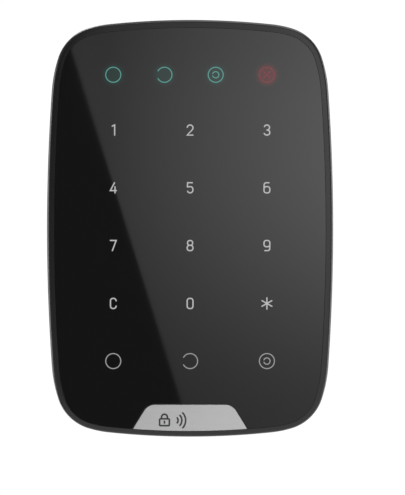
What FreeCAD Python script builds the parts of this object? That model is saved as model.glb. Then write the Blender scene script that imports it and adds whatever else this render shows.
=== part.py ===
import FreeCAD, Part
import math
import os

# Alarm keypad panel: a glass-fronted touch keypad whose body hooks onto a wall bracket.
# Millimetres. +Z is up, the glass faces -Y, and the wall is the plane Y = 0.
# The origin is the middle of the wall bracket's back face.

V = FreeCAD.Vector

# ---------------------------------------------------------------- driving dimensions
WIDTH = 103.0
HEIGHT = 150.0
DEPTH = 14.0

# The outline: five tangent arcs in each quarter, given by the directions of their ends
# (degrees from the side's middle to the top's middle) and the three corner radii.
# The long side radius and the top radius follow from the width and the height.
BEND_ANGLES = (0.0, 4.0, 18.0, 73.0, 84.0, 90.0)
CORNER_RADII = (50.0, 16.4, 39.0)

# Front frame
FRAME_FRONT = -DEPTH
FRAME_REAR = -7.6
FRAME_EDGE_RADIUS = 0.9
FRAME_WALL = 1.8
FRAME_LEDGE_Y = -12.65
FRAME_LEDGE_THICK = 1.0
FRAME_OPENING_INSET = 5.4
FRAME_BOSS_RADIUS = 2.6
FRAME_BOSS_REAR = -8.0
SCREW_INSET = 7.0

# Front glass: a little lower in the frame, and squarer in the corners than the frame
GLASS_HALF_WIDTH = 48.8
GLASS_HALF_HEIGHT = 72.45
GLASS_CENTRE_Z = -0.4
GLASS_CORNER_RADII = (47.0, 13.2, 36.0)
GLASS_FRONT = FRAME_FRONT + 0.1
GLASS_THICK = 1.1
GLASS_CHAMFER = 0.25
GLASS_GAP = 0.35

# Name plate, let into a notch in the glass's lower edge
PLATE_FOOT_HALF_WIDTH = 20.65
PLATE_FOOT_Z = -72.25
PLATE_TOP_HALF_WIDTH = 15.2
PLATE_TOP_Z = -63.4
PLATE_TOP_RADIUS = 4.6
PLATE_THICK = 0.8
PLATE_GAP = 0.3
TAPE_THICK = 0.1

# Films behind the glass
FILM_FRONT = -12.75
FILM_THICK = 0.15
GUIDE_FRONT = -12.55
GUIDE_THICK = 0.4
FILM_INSET = 5.8
TAIL_HALF_WIDTH = 6.0
TAIL_X = -14.0

# Rear housing
HOUSING_INSET = 0.5
HOUSING_FRONT = -7.3
HOUSING_REAR = -0.6
HOUSING_EDGE_RADIUS = 4.2
BACK_WALL_FRONT = -3.4
BACK_WALL_REAR = -1.9
TONGUE_INSET = 1.95
TONGUE_WALL = 1.2
TONGUE_FRONT = -9.5

# Battery bay: four AAA cells side by side behind a door
CELL_RADIUS = 5.25
CELL_LENGTH = 44.5
CELL_NUB_RADIUS = 1.9
CELL_NUB_LENGTH = 1.0
CELL_PITCH = 10.9
CELL_AXIS_Y = -6.15
CELL_COUNT = 4
BAY_HALF_WIDTH = 22.0
BAY_BOTTOM = -32.5
BAY_TOP = 18.0
BAY_FRONT_WALL = (-12.1, -11.5)
HUMP_HALF_WIDTH = 24.8
HUMP_BOTTOM = -35.8
HUMP_TOP = 21.4
HUMP_REAR = -0.1
CONTACT_THICK = 0.3
LEAF_HALF_SPAN = 3.6
LEAF_THICK = 0.3
LEAF_Y = (-8.4, -3.8)

# Battery door, hinged on a bead along its top edge
DOOR_HALF_WIDTH = 23.0
DOOR_BOTTOM = -33.6
DOOR_FRONT = -0.8
DOOR_REAR = -0.1
DOOR_AXIS_Y = -0.95
DOOR_AXIS_Z = 19.3
DOOR_BEAD_RADIUS = 0.8
DOOR_PIN_RADIUS = 0.5
DOOR_PIN_LENGTH = 1.0
DOOR_GAP = 0.3
RUNNING_CLEARANCE = 0.05

# Main board, in the upper half above the battery bay
BOARD_FRONT = -11.4
BOARD_THICK = 1.0
BOARD_INSET = 8.0
BOARD_BOTTOM = 22.3
BOARD_REAR = BOARD_FRONT + BOARD_THICK
BOARD_SCREWS = ((-33.0, 56.0), (33.0, 56.0), (8.0, 27.0))
INDICATOR_PITCH = 18.4
INDICATOR_Z = 55.15
KEY_LED_COUNT = 6
KEY_LED_PITCH = 12.0

# Wall bracket
BRACKET_INSET = 6.0
BRACKET_THICK = 1.6
BRACKET_POCKET_GAP = 1.0
WINDOW_HALF_WIDTH = 25.6
WINDOW_BOTTOM = -36.6
WINDOW_TOP = 28.2
LIFT = 6.0
HOOKS = ((-38.0, 30.0), (38.0, 30.0), (-38.0, -32.0), (38.0, -32.0))
HOOK_HALF_WIDTH = 3.0
HOOK_STEM = 2.0
HOOK_LIP = 4.0
HOOK_LIP_Y = (-4.9, -3.7)
WALL_HOLE_X = 34.0
WALL_HOLE_Z = 52.0
WALL_HOLE_RADIUS = 2.1
COUNTERSINK = 1.0
BRACKET_BEVEL = 0.35
POCKET_DEPTH = 0.5
POCKET_RADIUS = 1.5
SIDE_POCKETS = ((-25.0, -9.2), (-7.9, 7.9), (9.2, 25.0))
UPPER_POCKETS = ((14.5, 29.0, 35.0, 60.5), (-29.0, -14.5, 48.0, 60.5))
LOWER_POCKETS = ((10.5, 28.5, -62.0, -41.0), (-28.5, -10.5, -62.0, -41.0))
ARROW_Z = 33.0
BREAKAWAY_Z = 48.0
BREAKAWAY_RADIUS = 9.0
BREAKAWAY_SLOT = 1.2
BREAKAWAY_HOLE_Z = 51.5
BREAKAWAY_HOLE_RADIUS = 1.8

# Locking tab and screw at the bottom
TAB_HALF_WIDTH = 6.0
TAB_THICK = 1.6
TAB_FRONT = -5.8
TAB_BOTTOM = -69.0
NOTCH_HALF_WIDTH = 7.0
NOTCH_FRONT = -6.4
NOTCH_TOP = -66.9
NOTCH_WALL = 1.1
LOCK_SCREW_Y = -3.6
LOCK_SCREW_RADIUS = 1.1
LOCK_HEAD_RADIUS = 2.0
LOCK_HEAD_HEIGHT = 1.4
LOCK_SCREW_TOP = -61.0

# Tamper switch and power button, both worked through the housing's back wall
TAMPER_X, TAMPER_Z = 0.0, 44.5
TAMPER_STEM_RADIUS = 1.2
TAMPER_COLLAR_RADIUS = 2.2
TAMPER_TIP_Y = -1.65
TAMPER_TRAVEL = 0.6
BUTTON_X, BUTTON_Z = -22.0, 40.0
BUTTON_RADIUS = 3.5
BUTTON_OUTER_Y = -2.1
BUTTON_TRAVEL = 0.5
BUTTON_STEM_RADIUS = 1.4
SWITCH_HALF = 3.0
SWITCH_FLOOR = BOARD_REAR + 0.4

# Buzzer
BUZZER_X, BUZZER_Z = 22.0, 40.0
BUZZER_RADIUS = 6.0
BUZZER_HEIGHT = 4.6


# ---------------------------------------------------------------- basic shapes
def block(x0, x1, y0, y1, z0, z1):
    return Part.makeBox(x1 - x0, y1 - y0, z1 - z0, V(x0, y0, z0))


def rod_y(x, z, radius, y0, y1):
    return Part.makeCylinder(radius, y1 - y0, V(x, y0, z), V(0, 1, 0))


def rod_z(x, y, radius, z0, z1):
    return Part.makeCylinder(radius, z1 - z0, V(x, y, z0), V(0, 0, 1))


def rod_x(y, z, radius, x0, x1):
    return Part.makeCylinder(radius, x1 - x0, V(x0, y, z), V(1, 0, 0))


def flat_edges(shape, y):
    """The edges that lie in the plane at this y."""
    found = []
    for edge in shape.Edges:
        box = edge.BoundBox
        if abs(box.YMin - y) < 1e-6 and abs(box.YMax - y) < 1e-6:
            found.append(edge)
    return found


def corner_edges(shape, radius, test):
    """The shape with a radius on the edges that run along Y and pass the test on x and z."""
    chosen = []
    for edge in shape.Edges:
        box = edge.BoundBox
        if box.XLength < 1e-6 and box.ZLength < 1e-6 and test(box.XMin, box.ZMin):
            chosen.append(edge)
    return shape.makeFillet(radius, chosen)


def coil(x, y, z, wire_radius, coil_radius, length, turns, axis):
    """A coil spring from the point, along the axis."""
    path = Part.makeHelix(length / turns, length, coil_radius)
    ring = Part.Circle(V(coil_radius, 0, 0), V(0, 1, 0), wire_radius).toShape()
    spring = Part.Wire(path.Edges).makePipeShell([Part.Wire(ring)], True, True)
    turn = FreeCAD.Rotation(V(0, 0, 1), axis)
    spring.Placement = FreeCAD.Placement(V(x, y, z), turn)
    return spring


# ---------------------------------------------------------------- the panel's outline
def quarter_arcs(half_width, half_height, radii):
    """(centre x, centre z, radius, first angle, last angle) of the arcs of one quarter."""
    angles = [math.radians(angle) for angle in BEND_ANGLES]
    run_x = []
    run_z = []
    for first, last in zip(angles, angles[1:]):
        run_x.append(math.cos(last) - math.cos(first))
        run_z.append(math.sin(last) - math.sin(first))
    left_x = -half_width
    left_z = half_height
    for index, radius in enumerate(radii, start=1):
        left_x -= radius * run_x[index]
        left_z -= radius * run_z[index]
    determinant = run_x[0] * run_z[4] - run_x[4] * run_z[0]
    side_radius = (left_x * run_z[4] - run_x[4] * left_z) / determinant
    top_radius = (run_x[0] * left_z - left_x * run_z[0]) / determinant
    arcs = []
    x = half_width
    z = 0.0
    for radius, first, last in zip((side_radius, *radii, top_radius), angles, angles[1:]):
        centre_x = x - radius * math.cos(first)
        centre_z = z - radius * math.sin(first)
        arcs.append((centre_x, centre_z, radius, first, last))
        x = centre_x + radius * math.cos(last)
        z = centre_z + radius * math.sin(last)
    return arcs


FRAME_ARCS = quarter_arcs(WIDTH / 2, HEIGHT / 2, CORNER_RADII)
GLASS_ARCS = quarter_arcs(GLASS_HALF_WIDTH, GLASS_HALF_HEIGHT, GLASS_CORNER_RADII)


def slab(arcs, inset, y0, y1, centre_z=0.0):
    """A flat slab whose outline is the arcs moved inwards by the inset."""
    edges = []
    for side_x, side_z in ((1, 1), (-1, 1), (-1, -1), (1, -1)):
        for centre_x, arc_z, radius, first, last in arcs:
            points = []
            for angle in (first, (first + last) / 2, last):
                x = centre_x + (radius - inset) * math.cos(angle)
                z = arc_z + (radius - inset) * math.sin(angle)
                points.append(V(side_x * x, y0, side_z * z + centre_z))
            edges.append(Part.Arc(*points).toShape())
    outline = Part.Wire(Part.__sortEdges__(edges))
    return Part.Face(outline).extrude(V(0, y1 - y0, 0))


def corner_point(inset):
    """The point on the corner's 45 degree line that is this far inside the outline."""
    centre_x, centre_z, radius, first, last = FRAME_ARCS[2]
    reach = (radius - inset) * math.sqrt(0.5)
    return centre_x + reach, centre_z + reach


def corners(inset):
    x, z = corner_point(inset)
    return [(side_x * x, side_z * z) for side_x in (1, -1) for side_z in (1, -1)]


def plate_zone(margin, y0, y1, radius=0.0):
    """The name plate's trapezoid grown by the margin, open at the foot."""
    lean = math.atan2(PLATE_FOOT_HALF_WIDTH - PLATE_TOP_HALF_WIDTH, PLATE_TOP_Z - PLATE_FOOT_Z)
    top_z = PLATE_TOP_Z + margin
    foot_z = -HEIGHT / 2 - 5.0
    shift = margin / math.cos(lean)
    top_x = PLATE_TOP_HALF_WIDTH + shift - margin * math.tan(lean)
    foot_x = PLATE_TOP_HALF_WIDTH + shift + (PLATE_TOP_Z - foot_z) * math.tan(lean)
    points = [V(-foot_x, y0, foot_z), V(foot_x, y0, foot_z), V(top_x, y0, top_z), V(-top_x, y0, top_z)]
    face = Part.Face(Part.makePolygon(points + points[:1]))
    solid = face.extrude(V(0, y1 - y0, 0))
    if radius > 0:
        solid = corner_edges(solid, radius, lambda x, z: abs(z - top_z) < 1e-6)
    return solid


# ---------------------------------------------------------------- front: glass, frame, plate
def glass_slab(inset, y0, y1):
    return slab(GLASS_ARCS, inset, y0, y1, GLASS_CENTRE_Z)


def front_glass():
    rear = GLASS_FRONT + GLASS_THICK
    glass = glass_slab(0.0, GLASS_FRONT, rear)
    glass = glass.cut(plate_zone(PLATE_GAP, GLASS_FRONT - 1, rear + 1, PLATE_TOP_RADIUS + PLATE_GAP))
    return glass.makeChamfer(GLASS_CHAMFER, flat_edges(glass, GLASS_FRONT))


def glass_tape():
    y0 = GLASS_FRONT + GLASS_THICK
    tape = glass_slab(0.5, y0, FRAME_LEDGE_Y)
    tape = tape.cut(slab(FRAME_ARCS, FRAME_OPENING_INSET, y0 - 1, FRAME_LEDGE_Y + 1))
    return tape.cut(plate_zone(1.0, y0 - 1, FRAME_LEDGE_Y + 1))


def name_plate():
    rear = GLASS_FRONT + PLATE_THICK
    plate = glass_slab(0.0, GLASS_FRONT, rear)
    plate = plate.common(plate_zone(0.0, GLASS_FRONT - 1, rear + 1, PLATE_TOP_RADIUS))
    return plate.makeChamfer(0.12, flat_edges(plate, GLASS_FRONT))


def plate_seat(inset, y0, y1):
    """The raised pad under the name plate, or the tape on it."""
    seat = glass_slab(inset, y0, y1)
    return seat.common(plate_zone(-inset, y0 - 1, y1 + 1, PLATE_TOP_RADIUS - inset))


def name_plate_tape():
    front = GLASS_FRONT + PLATE_THICK
    return plate_seat(0.7, front, front + TAPE_THICK)


def front_frame():
    frame = slab(FRAME_ARCS, 0.0, FRAME_FRONT, FRAME_REAR)
    frame = frame.makeFillet(FRAME_EDGE_RADIUS, flat_edges(frame, FRAME_FRONT))
    ledge_rear = FRAME_LEDGE_Y + FRAME_LEDGE_THICK
    frame = frame.cut(slab(FRAME_ARCS, FRAME_WALL, ledge_rear, FRAME_REAR + 1))
    frame = frame.cut(glass_slab(-GLASS_GAP, FRAME_FRONT - 1, FRAME_LEDGE_Y))
    opening = slab(FRAME_ARCS, FRAME_OPENING_INSET, FRAME_FRONT, ledge_rear + 1)
    opening = opening.cut(plate_zone(2.0, FRAME_FRONT - 1, ledge_rear + 2))
    frame = frame.cut(opening)
    frame = frame.fuse(plate_seat(0.5, GLASS_FRONT + PLATE_THICK + TAPE_THICK, FRAME_LEDGE_Y))
    for x, z in corners(SCREW_INSET):
        frame = frame.fuse(rod_y(x, z, FRAME_BOSS_RADIUS, FRAME_LEDGE_Y + 0.1, FRAME_BOSS_REAR))
        frame = frame.cut(rod_y(x, z, 1.05, FRAME_LEDGE_Y + 1.2, FRAME_BOSS_REAR + 1))
    return frame.removeSplitter()


def film_outline(y0, y1):
    film = slab(FRAME_ARCS, FILM_INSET, y0, y1)
    film = film.cut(plate_zone(2.6, y0 - 1, y1 + 1))
    for x, z in corners(SCREW_INSET):
        film = film.cut(rod_y(x, z, FRAME_BOSS_RADIUS + 0.4, y0 - 1, y1 + 1))
    return film


def touch_film():
    """Clear film with the key electrodes, and the tail that folds back round the board's edge."""
    film = film_outline(FILM_FRONT, FILM_FRONT + FILM_THICK)
    x0 = TAIL_X - TAIL_HALF_WIDTH
    x1 = TAIL_X + TAIL_HALF_WIDTH
    tail_z = BOARD_BOTTOM - 0.45
    tail = block(x0, x1, FILM_FRONT, BOARD_REAR + 0.45, tail_z, tail_z + FILM_THICK)
    fold = block(x0, x1, BOARD_REAR + 0.3, BOARD_REAR + 0.45, tail_z, BOARD_BOTTOM + 2.0)
    return film.fuse([tail, fold]).removeSplitter()


def light_guide():
    guide = film_outline(GUIDE_FRONT, GUIDE_FRONT + GUIDE_THICK)
    x0 = TAIL_X - TAIL_HALF_WIDTH - 0.5
    x1 = TAIL_X + TAIL_HALF_WIDTH + 0.5
    slot = block(x0, x1, GUIDE_FRONT - 1, GUIDE_FRONT + 1, BOARD_BOTTOM - 0.9, BOARD_BOTTOM + 0.3)
    return guide.cut(slot)


# ---------------------------------------------------------------- rear housing and battery door
def bay_walls():
    """The battery hump: its walls reach from behind the light guide to the door's face."""
    hump = block(-HUMP_HALF_WIDTH, HUMP_HALF_WIDTH, BAY_FRONT_WALL[0], HUMP_REAR, HUMP_BOTTOM, HUMP_TOP)
    hump = corner_edges(hump, 1.5, lambda x, z: True)
    return hump.makeFillet(0.5, flat_edges(hump, HUMP_REAR))


def bay_hollow():
    """Everything cut out of the hump: the cells' space, the door's rebate and its hinge trench."""
    rear = HUMP_REAR + 1
    door_x = DOOR_HALF_WIDTH + DOOR_GAP
    trench_z = DOOR_AXIS_Z + DOOR_BEAD_RADIUS + DOOR_GAP
    cells = block(-BAY_HALF_WIDTH, BAY_HALF_WIDTH, BAY_FRONT_WALL[1], rear, BAY_BOTTOM, BAY_TOP)
    rebate = block(-door_x, door_x, DOOR_FRONT - 0.1, rear, DOOR_BOTTOM - DOOR_GAP, trench_z)
    trench_y = DOOR_AXIS_Y - DOOR_BEAD_RADIUS - DOOR_GAP
    trench = block(-door_x, door_x, trench_y, rear, BAY_TOP + 0.3, trench_z)
    pin_reach = DOOR_HALF_WIDTH + DOOR_PIN_LENGTH + 0.3
    pins = rod_x(DOOR_AXIS_Y, DOOR_AXIS_Z, DOOR_PIN_RADIUS + RUNNING_CLEARANCE, -pin_reach, pin_reach)
    thumb = rod_y(0.0, DOOR_BOTTOM - 3.2, 6.0, DOOR_FRONT - 0.1, rear)
    return cells.fuse([rebate, trench, pins, thumb])


def cradle_ribs():
    """Ribs between the cells, low enough to clear their round sides."""
    ribs = []
    for step in range(1, CELL_COUNT):
        x = (step - CELL_COUNT / 2) * CELL_PITCH
        ribs.append(block(x - 0.5, x + 0.5, BAY_FRONT_WALL[0], -9.6, BAY_BOTTOM - 1, BAY_TOP + 1))
    return ribs


def hook_slot(x, z):
    top = z + HOOK_STEM + 0.3
    length = LIFT + HOOK_STEM + 1.0
    half = HOOK_HALF_WIDTH + 0.5
    slot = block(x - half, x + half, BACK_WALL_FRONT - 1, BACK_WALL_REAR + 1, top - length, top)
    return corner_edges(slot, 0.4, lambda x, z: True)


def bracket_pocket():
    """The shallow recess that the bracket sits in, drawn out downwards for the lift."""
    inset = BRACKET_INSET - BRACKET_POCKET_GAP
    pocket = slab(FRAME_ARCS, inset, BACK_WALL_REAR, HOUSING_REAR + 1)
    lower = pocket.copy()
    lower.translate(V(0, 0, -LIFT - BRACKET_POCKET_GAP))
    half = WIDTH / 2 - inset
    bridge = block(-half, half, BACK_WALL_REAR, HOUSING_REAR + 1, -HEIGHT / 4 - LIFT, 0)
    return pocket.fuse([lower, bridge])


def rear_housing():
    shell = slab(FRAME_ARCS, HOUSING_INSET, HOUSING_FRONT, HOUSING_REAR)
    shell = shell.makeFillet(HOUSING_EDGE_RADIUS, flat_edges(shell, HOUSING_REAR))
    tongue = slab(FRAME_ARCS, TONGUE_INSET, TONGUE_FRONT, HOUSING_FRONT + 1)
    shell = shell.fuse(tongue)
    shell = shell.cut(slab(FRAME_ARCS, TONGUE_INSET + TONGUE_WALL, TONGUE_FRONT - 1, BACK_WALL_FRONT))
    shell = shell.cut(bracket_pocket())

    additions = [bay_walls()]
    for x, z in corners(SCREW_INSET):
        additions.append(rod_y(x, z, 2.9, FRAME_BOSS_REAR + 0.2, BACK_WALL_FRONT + 0.5))
    for x, z in BOARD_SCREWS:
        additions.append(rod_y(x, z, 2.2, BOARD_REAR, BACK_WALL_FRONT + 0.5))
    additions.append(rod_y(BUTTON_X, BUTTON_Z, BUTTON_RADIUS + 1.6, -5.6, BACK_WALL_FRONT + 0.5))
    additions.append(rod_y(TAMPER_X, TAMPER_Z, TAMPER_COLLAR_RADIUS + 1.2, -6.2, BACK_WALL_FRONT + 0.5))
    wall_x = NOTCH_HALF_WIDTH + NOTCH_WALL
    cavity_z = -HEIGHT / 2 + TONGUE_INSET + 0.5
    notch_box = block(
        -wall_x, wall_x, NOTCH_FRONT - NOTCH_WALL, BACK_WALL_FRONT, cavity_z, NOTCH_TOP + NOTCH_WALL
    )
    additions.append(notch_box)
    additions.append(rod_z(0, LOCK_SCREW_Y, 2.5, NOTCH_TOP, LOCK_SCREW_TOP + 1.2))
    shell = shell.fuse(additions)

    pocket_floor = BACK_WALL_REAR
    cuts = [bay_hollow()]
    for x, z in HOOKS:
        cuts.append(hook_slot(x, z))
    for x, z in corners(SCREW_INSET):
        cuts.append(rod_y(x, z, 1.15, FRAME_BOSS_REAR - 1, 1))
        cuts.append(rod_y(x, z, 2.1, pocket_floor - 1.8, 1))
        cuts.append(rod_y(x, z, FRAME_BOSS_RADIUS + 0.3, TONGUE_FRONT - 1, FRAME_BOSS_REAR + 0.2))
    for x, z in BOARD_SCREWS:
        cuts.append(rod_y(x, z, 0.85, BOARD_REAR - 1, -5.0))
    cuts.append(rod_y(BUTTON_X, BUTTON_Z, BUTTON_RADIUS + 0.3, -6.5, BACK_WALL_FRONT))
    cuts.append(rod_y(BUTTON_X, BUTTON_Z, BUTTON_RADIUS - 0.7 + RUNNING_CLEARANCE, -4, 1))
    cuts.append(rod_y(TAMPER_X, TAMPER_Z, TAMPER_COLLAR_RADIUS + 0.3, -7, BACK_WALL_FRONT))
    cuts.append(rod_y(TAMPER_X, TAMPER_Z, TAMPER_STEM_RADIUS + RUNNING_CLEARANCE, -4, 1))
    cuts.append(rod_y(BUZZER_X, BUZZER_Z, 0.6, -4, 1))
    for step in range(6):
        angle = math.radians(60 * step)
        x = BUZZER_X + 3.0 * math.cos(angle)
        z = BUZZER_Z + 3.0 * math.sin(angle)
        cuts.append(rod_y(x, z, 0.6, -4, 1))
    cuts.append(
        block(-NOTCH_HALF_WIDTH, NOTCH_HALF_WIDTH, NOTCH_FRONT, 1, -HEIGHT / 2 - 1, NOTCH_TOP)
    )
    cuts.append(rod_z(0, LOCK_SCREW_Y, LOCK_SCREW_RADIUS + 0.1, NOTCH_TOP - 1, LOCK_SCREW_TOP + 0.4))
    boss_back = block(-3, 3, BACK_WALL_REAR, 0, NOTCH_TOP, LOCK_SCREW_TOP + 2)
    cuts.append(boss_back)
    shell = shell.cut(cuts)
    return shell.fuse(cradle_ribs()).removeSplitter()


def battery_door():
    door = block(
        -DOOR_HALF_WIDTH, DOOR_HALF_WIDTH, DOOR_FRONT, DOOR_REAR, DOOR_BOTTOM, DOOR_AXIS_Z
    )
    door = corner_edges(door, 1.0, lambda x, z: z < 0)
    door = door.makeChamfer(0.25, flat_edges(door, DOOR_REAR))
    bead = rod_x(DOOR_AXIS_Y, DOOR_AXIS_Z, DOOR_BEAD_RADIUS, -DOOR_HALF_WIDTH, DOOR_HALF_WIDTH)
    reach = DOOR_HALF_WIDTH + DOOR_PIN_LENGTH
    pins = rod_x(DOOR_AXIS_Y, DOOR_AXIS_Z, DOOR_PIN_RADIUS, -reach, reach)
    grip = []
    for step in range(5):
        z = DOOR_BOTTOM + 2.5 + 1.2 * step
        grip.append(block(-6, 6, DOOR_REAR - 0.25, DOOR_REAR + 1, z, z + 0.5))
    for side in (-1, 1):
        grip.append(block(side * 8.5 - 0.4, side * 8.5 + 0.4, -2, 1, DOOR_BOTTOM - 1, DOOR_BOTTOM + 9))
    grip.append(arrow(0.0, DOOR_BOTTOM + 15.0, 2.2, DOOR_REAR - 0.25, 1, -1))
    return door.fuse([bead, pins]).cut(grip).removeSplitter()


# ---------------------------------------------------------------- cells and their contacts
def cell_x(index):
    return (index - (CELL_COUNT - 1) / 2) * CELL_PITCH


def plus_up(index):
    return index % 2 == 0


def cell_span(index):
    """Lowest and highest z of the cell: its plus end meets a plate, its minus end a spring."""
    if plus_up(index):
        top = BAY_TOP - CONTACT_THICK - 0.05
        return top - CELL_LENGTH, top
    bottom = BAY_BOTTOM + CONTACT_THICK + 0.05
    return bottom, bottom + CELL_LENGTH


def battery(index):
    bottom, top = cell_span(index)
    x = cell_x(index)
    if plus_up(index):
        can = rod_z(x, CELL_AXIS_Y, CELL_RADIUS, bottom, top - CELL_NUB_LENGTH)
        nub = rod_z(x, CELL_AXIS_Y, CELL_NUB_RADIUS, top - CELL_NUB_LENGTH, top)
    else:
        can = rod_z(x, CELL_AXIS_Y, CELL_RADIUS, bottom + CELL_NUB_LENGTH, top)
        nub = rod_z(x, CELL_AXIS_Y, CELL_NUB_RADIUS, bottom, bottom + CELL_NUB_LENGTH)
    can = can.makeFillet(0.5, [edge for edge in can.Edges if edge.BoundBox.ZLength < 1e-6])
    return can.fuse(nub)


def contact_plate(x0, x1, at_top):
    z0 = BAY_TOP - CONTACT_THICK if at_top else BAY_BOTTOM
    plate = block(x0 - 3.9, x1 + 3.9, -9.4, -2.4, z0, z0 + CONTACT_THICK)
    return corner_plate(plate)


def corner_plate(plate):
    chosen = []
    for edge in plate.Edges:
        box = edge.BoundBox
        if box.XLength < 1e-6 and box.YLength < 1e-6:
            chosen.append(edge)
    return plate.makeFillet(1.0, chosen)


def battery_plates():
    """Sheet contacts that join the cells in series: one long one across each pair."""
    plates = [contact_plate(cell_x(0), cell_x(0), True)]
    plates.append(contact_plate(cell_x(1), cell_x(2), True))
    plates.append(contact_plate(cell_x(3), cell_x(3), True))
    plates.append(contact_plate(cell_x(0), cell_x(1), False))
    plates.append(contact_plate(cell_x(2), cell_x(3), False))
    return Part.makeCompound(plates)


def leaf_spring(x, foot_z, tip_z):
    """A bowed leaf: its two feet press on the bay's end plate and its crown on the cell."""
    toward = 1 if tip_z > foot_z else -1
    outer = Part.Arc(
        V(x - LEAF_HALF_SPAN, LEAF_Y[0], foot_z), V(x, LEAF_Y[0], tip_z),
        V(x + LEAF_HALF_SPAN, LEAF_Y[0], foot_z),
    ).toShape()
    inner_span = LEAF_HALF_SPAN - LEAF_THICK
    inner_tip = tip_z - toward * LEAF_THICK
    inner = Part.Arc(
        V(x - inner_span, LEAF_Y[0], foot_z), V(x, LEAF_Y[0], inner_tip),
        V(x + inner_span, LEAF_Y[0], foot_z),
    ).toShape()
    feet = []
    for side in (-1, 1):
        near = V(x + side * inner_span, LEAF_Y[0], foot_z)
        far = V(x + side * LEAF_HALF_SPAN, LEAF_Y[0], foot_z)
        feet.append(Part.LineSegment(near, far).toShape())
    rim = Part.Wire(Part.__sortEdges__([outer, inner] + feet))
    return Part.Face(rim).extrude(V(0, LEAF_Y[1] - LEAF_Y[0], 0))


def battery_springs():
    springs = []
    for index in range(CELL_COUNT):
        bottom, top = cell_span(index)
        if plus_up(index):
            foot_z = BAY_BOTTOM + CONTACT_THICK
            tip_z = bottom - 0.02
        else:
            foot_z = BAY_TOP - CONTACT_THICK
            tip_z = top + 0.02
        springs.append(leaf_spring(cell_x(index), foot_z, tip_z))
    return Part.makeCompound(springs)


# ---------------------------------------------------------------- electronics
def main_board():
    board = slab(FRAME_ARCS, BOARD_INSET, BOARD_FRONT, BOARD_REAR)
    keep = block(-WIDTH, WIDTH, BOARD_FRONT - 1, BOARD_REAR + 1, BOARD_BOTTOM, HEIGHT)
    board = board.common(keep)
    for x, z in BOARD_SCREWS:
        board = board.cut(rod_y(x, z, 1.2, BOARD_FRONT - 1, BOARD_REAR + 1))
    for x, z in corners(SCREW_INSET):
        board = board.cut(rod_y(x, z, FRAME_BOSS_RADIUS + 0.9, BOARD_FRONT - 1, BOARD_REAR + 1))
    return board


def led(x, z):
    body = block(x - 0.8, x + 0.8, BOARD_FRONT - 0.3, BOARD_FRONT, z - 0.4, z + 0.4)
    lens = block(x - 0.5, x + 0.5, BOARD_FRONT - 0.55, BOARD_FRONT - 0.3, z - 0.35, z + 0.35)
    return body.fuse(lens)


def indicator_leds():
    return Part.makeCompound([led((step - 1.5) * INDICATOR_PITCH, INDICATOR_Z) for step in range(4)])


def key_leds():
    z = BOARD_BOTTOM + 1.6
    lamps = []
    for step in range(KEY_LED_COUNT):
        lamps.append(led((step - (KEY_LED_COUNT - 1) / 2) * KEY_LED_PITCH + 2.0, z))
    return Part.makeCompound(lamps)


def radio_shield():
    """Folded tin can over the radio, open towards the board, with vent holes in its lid."""
    can = block(-10, 10, BOARD_REAR, BOARD_REAR + 2.4, 50.5, 62.5)
    can = can.cut(block(-9.8, 9.8, BOARD_REAR - 1, BOARD_REAR + 2.2, 50.7, 62.3))
    holes = []
    for column in range(4):
        for row in range(2):
            holes.append(rod_y(-6 + 4 * column, 54.5 + 4 * row, 0.6, BOARD_REAR + 2, BOARD_REAR + 3))
    return can.cut(holes)


def radio_chip():
    return block(-3.5, 3.5, BOARD_REAR, BOARD_REAR + 0.9, 53.0, 60.0)


def processor():
    body = block(8.5, 14.0, BOARD_REAR, BOARD_REAR + 1.0, 44.0, 49.5)
    return body.cut(rod_y(9.4, 48.6, 0.4, BOARD_REAR + 0.9, BOARD_REAR + 2))


def antenna():
    """Sheet-metal antenna: two feet and a raised arm along the board's top edge."""
    arm = block(14, 30, BOARD_REAR + 3.2, BOARD_REAR + 3.5, 60.2, 62.2)
    feed = block(14, 14.3, BOARD_REAR, BOARD_REAR + 3.2, 60.2, 62.2)
    ground = block(17.5, 17.8, BOARD_REAR, BOARD_REAR + 3.2, 60.2, 62.2)
    tip = block(30, 30.3, BOARD_REAR + 1.2, BOARD_REAR + 3.5, 60.2, 62.2)
    return arm.fuse([feed, ground, tip])


def tail_connector():
    x0 = TAIL_X - TAIL_HALF_WIDTH - 1.2
    x1 = TAIL_X + TAIL_HALF_WIDTH + 1.2
    body = block(x0, x1, BOARD_REAR, BOARD_REAR + 1.4, BOARD_BOTTOM + 0.6, BOARD_BOTTOM + 4.6)
    mouth = block(
        TAIL_X - TAIL_HALF_WIDTH - 0.2, TAIL_X + TAIL_HALF_WIDTH + 0.2,
        BOARD_REAR + 0.2, BOARD_REAR + 0.6, BOARD_BOTTOM, BOARD_BOTTOM + 2.4,
    )
    return body.cut(mouth)


def buzzer():
    case = rod_y(BUZZER_X, BUZZER_Z, BUZZER_RADIUS, BOARD_REAR, BOARD_REAR + BUZZER_HEIGHT)
    rear = flat_edges(case, BOARD_REAR + BUZZER_HEIGHT)
    case = case.makeFillet(0.5, rear)
    port = rod_y(BUZZER_X, BUZZER_Z, 1.2, BOARD_REAR + 3.2, BOARD_REAR + 9)
    hollow = rod_y(BUZZER_X, BUZZER_Z, BUZZER_RADIUS - 0.8, BOARD_REAR + 0.6, BOARD_REAR + 3.6)
    return case.cut([port, hollow])


def buzzer_disc():
    return rod_y(BUZZER_X, BUZZER_Z, BUZZER_RADIUS - 0.9, BOARD_REAR + 2.6, BOARD_REAR + 2.8)


def smoothing_capacitors():
    cans = []
    for x in (30.5, 37.0):
        can = rod_y(x, 46.0, 2.5, BOARD_REAR + 0.6, BOARD_REAR + 5.2)
        can = can.makeFillet(0.4, flat_edges(can, BOARD_REAR + 5.2))
        base = block(x - 2.6, x + 2.6, BOARD_REAR, BOARD_REAR + 0.6, 43.4, 48.6)
        cans.append(can.fuse(base))
    return Part.makeCompound(cans)


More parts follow.
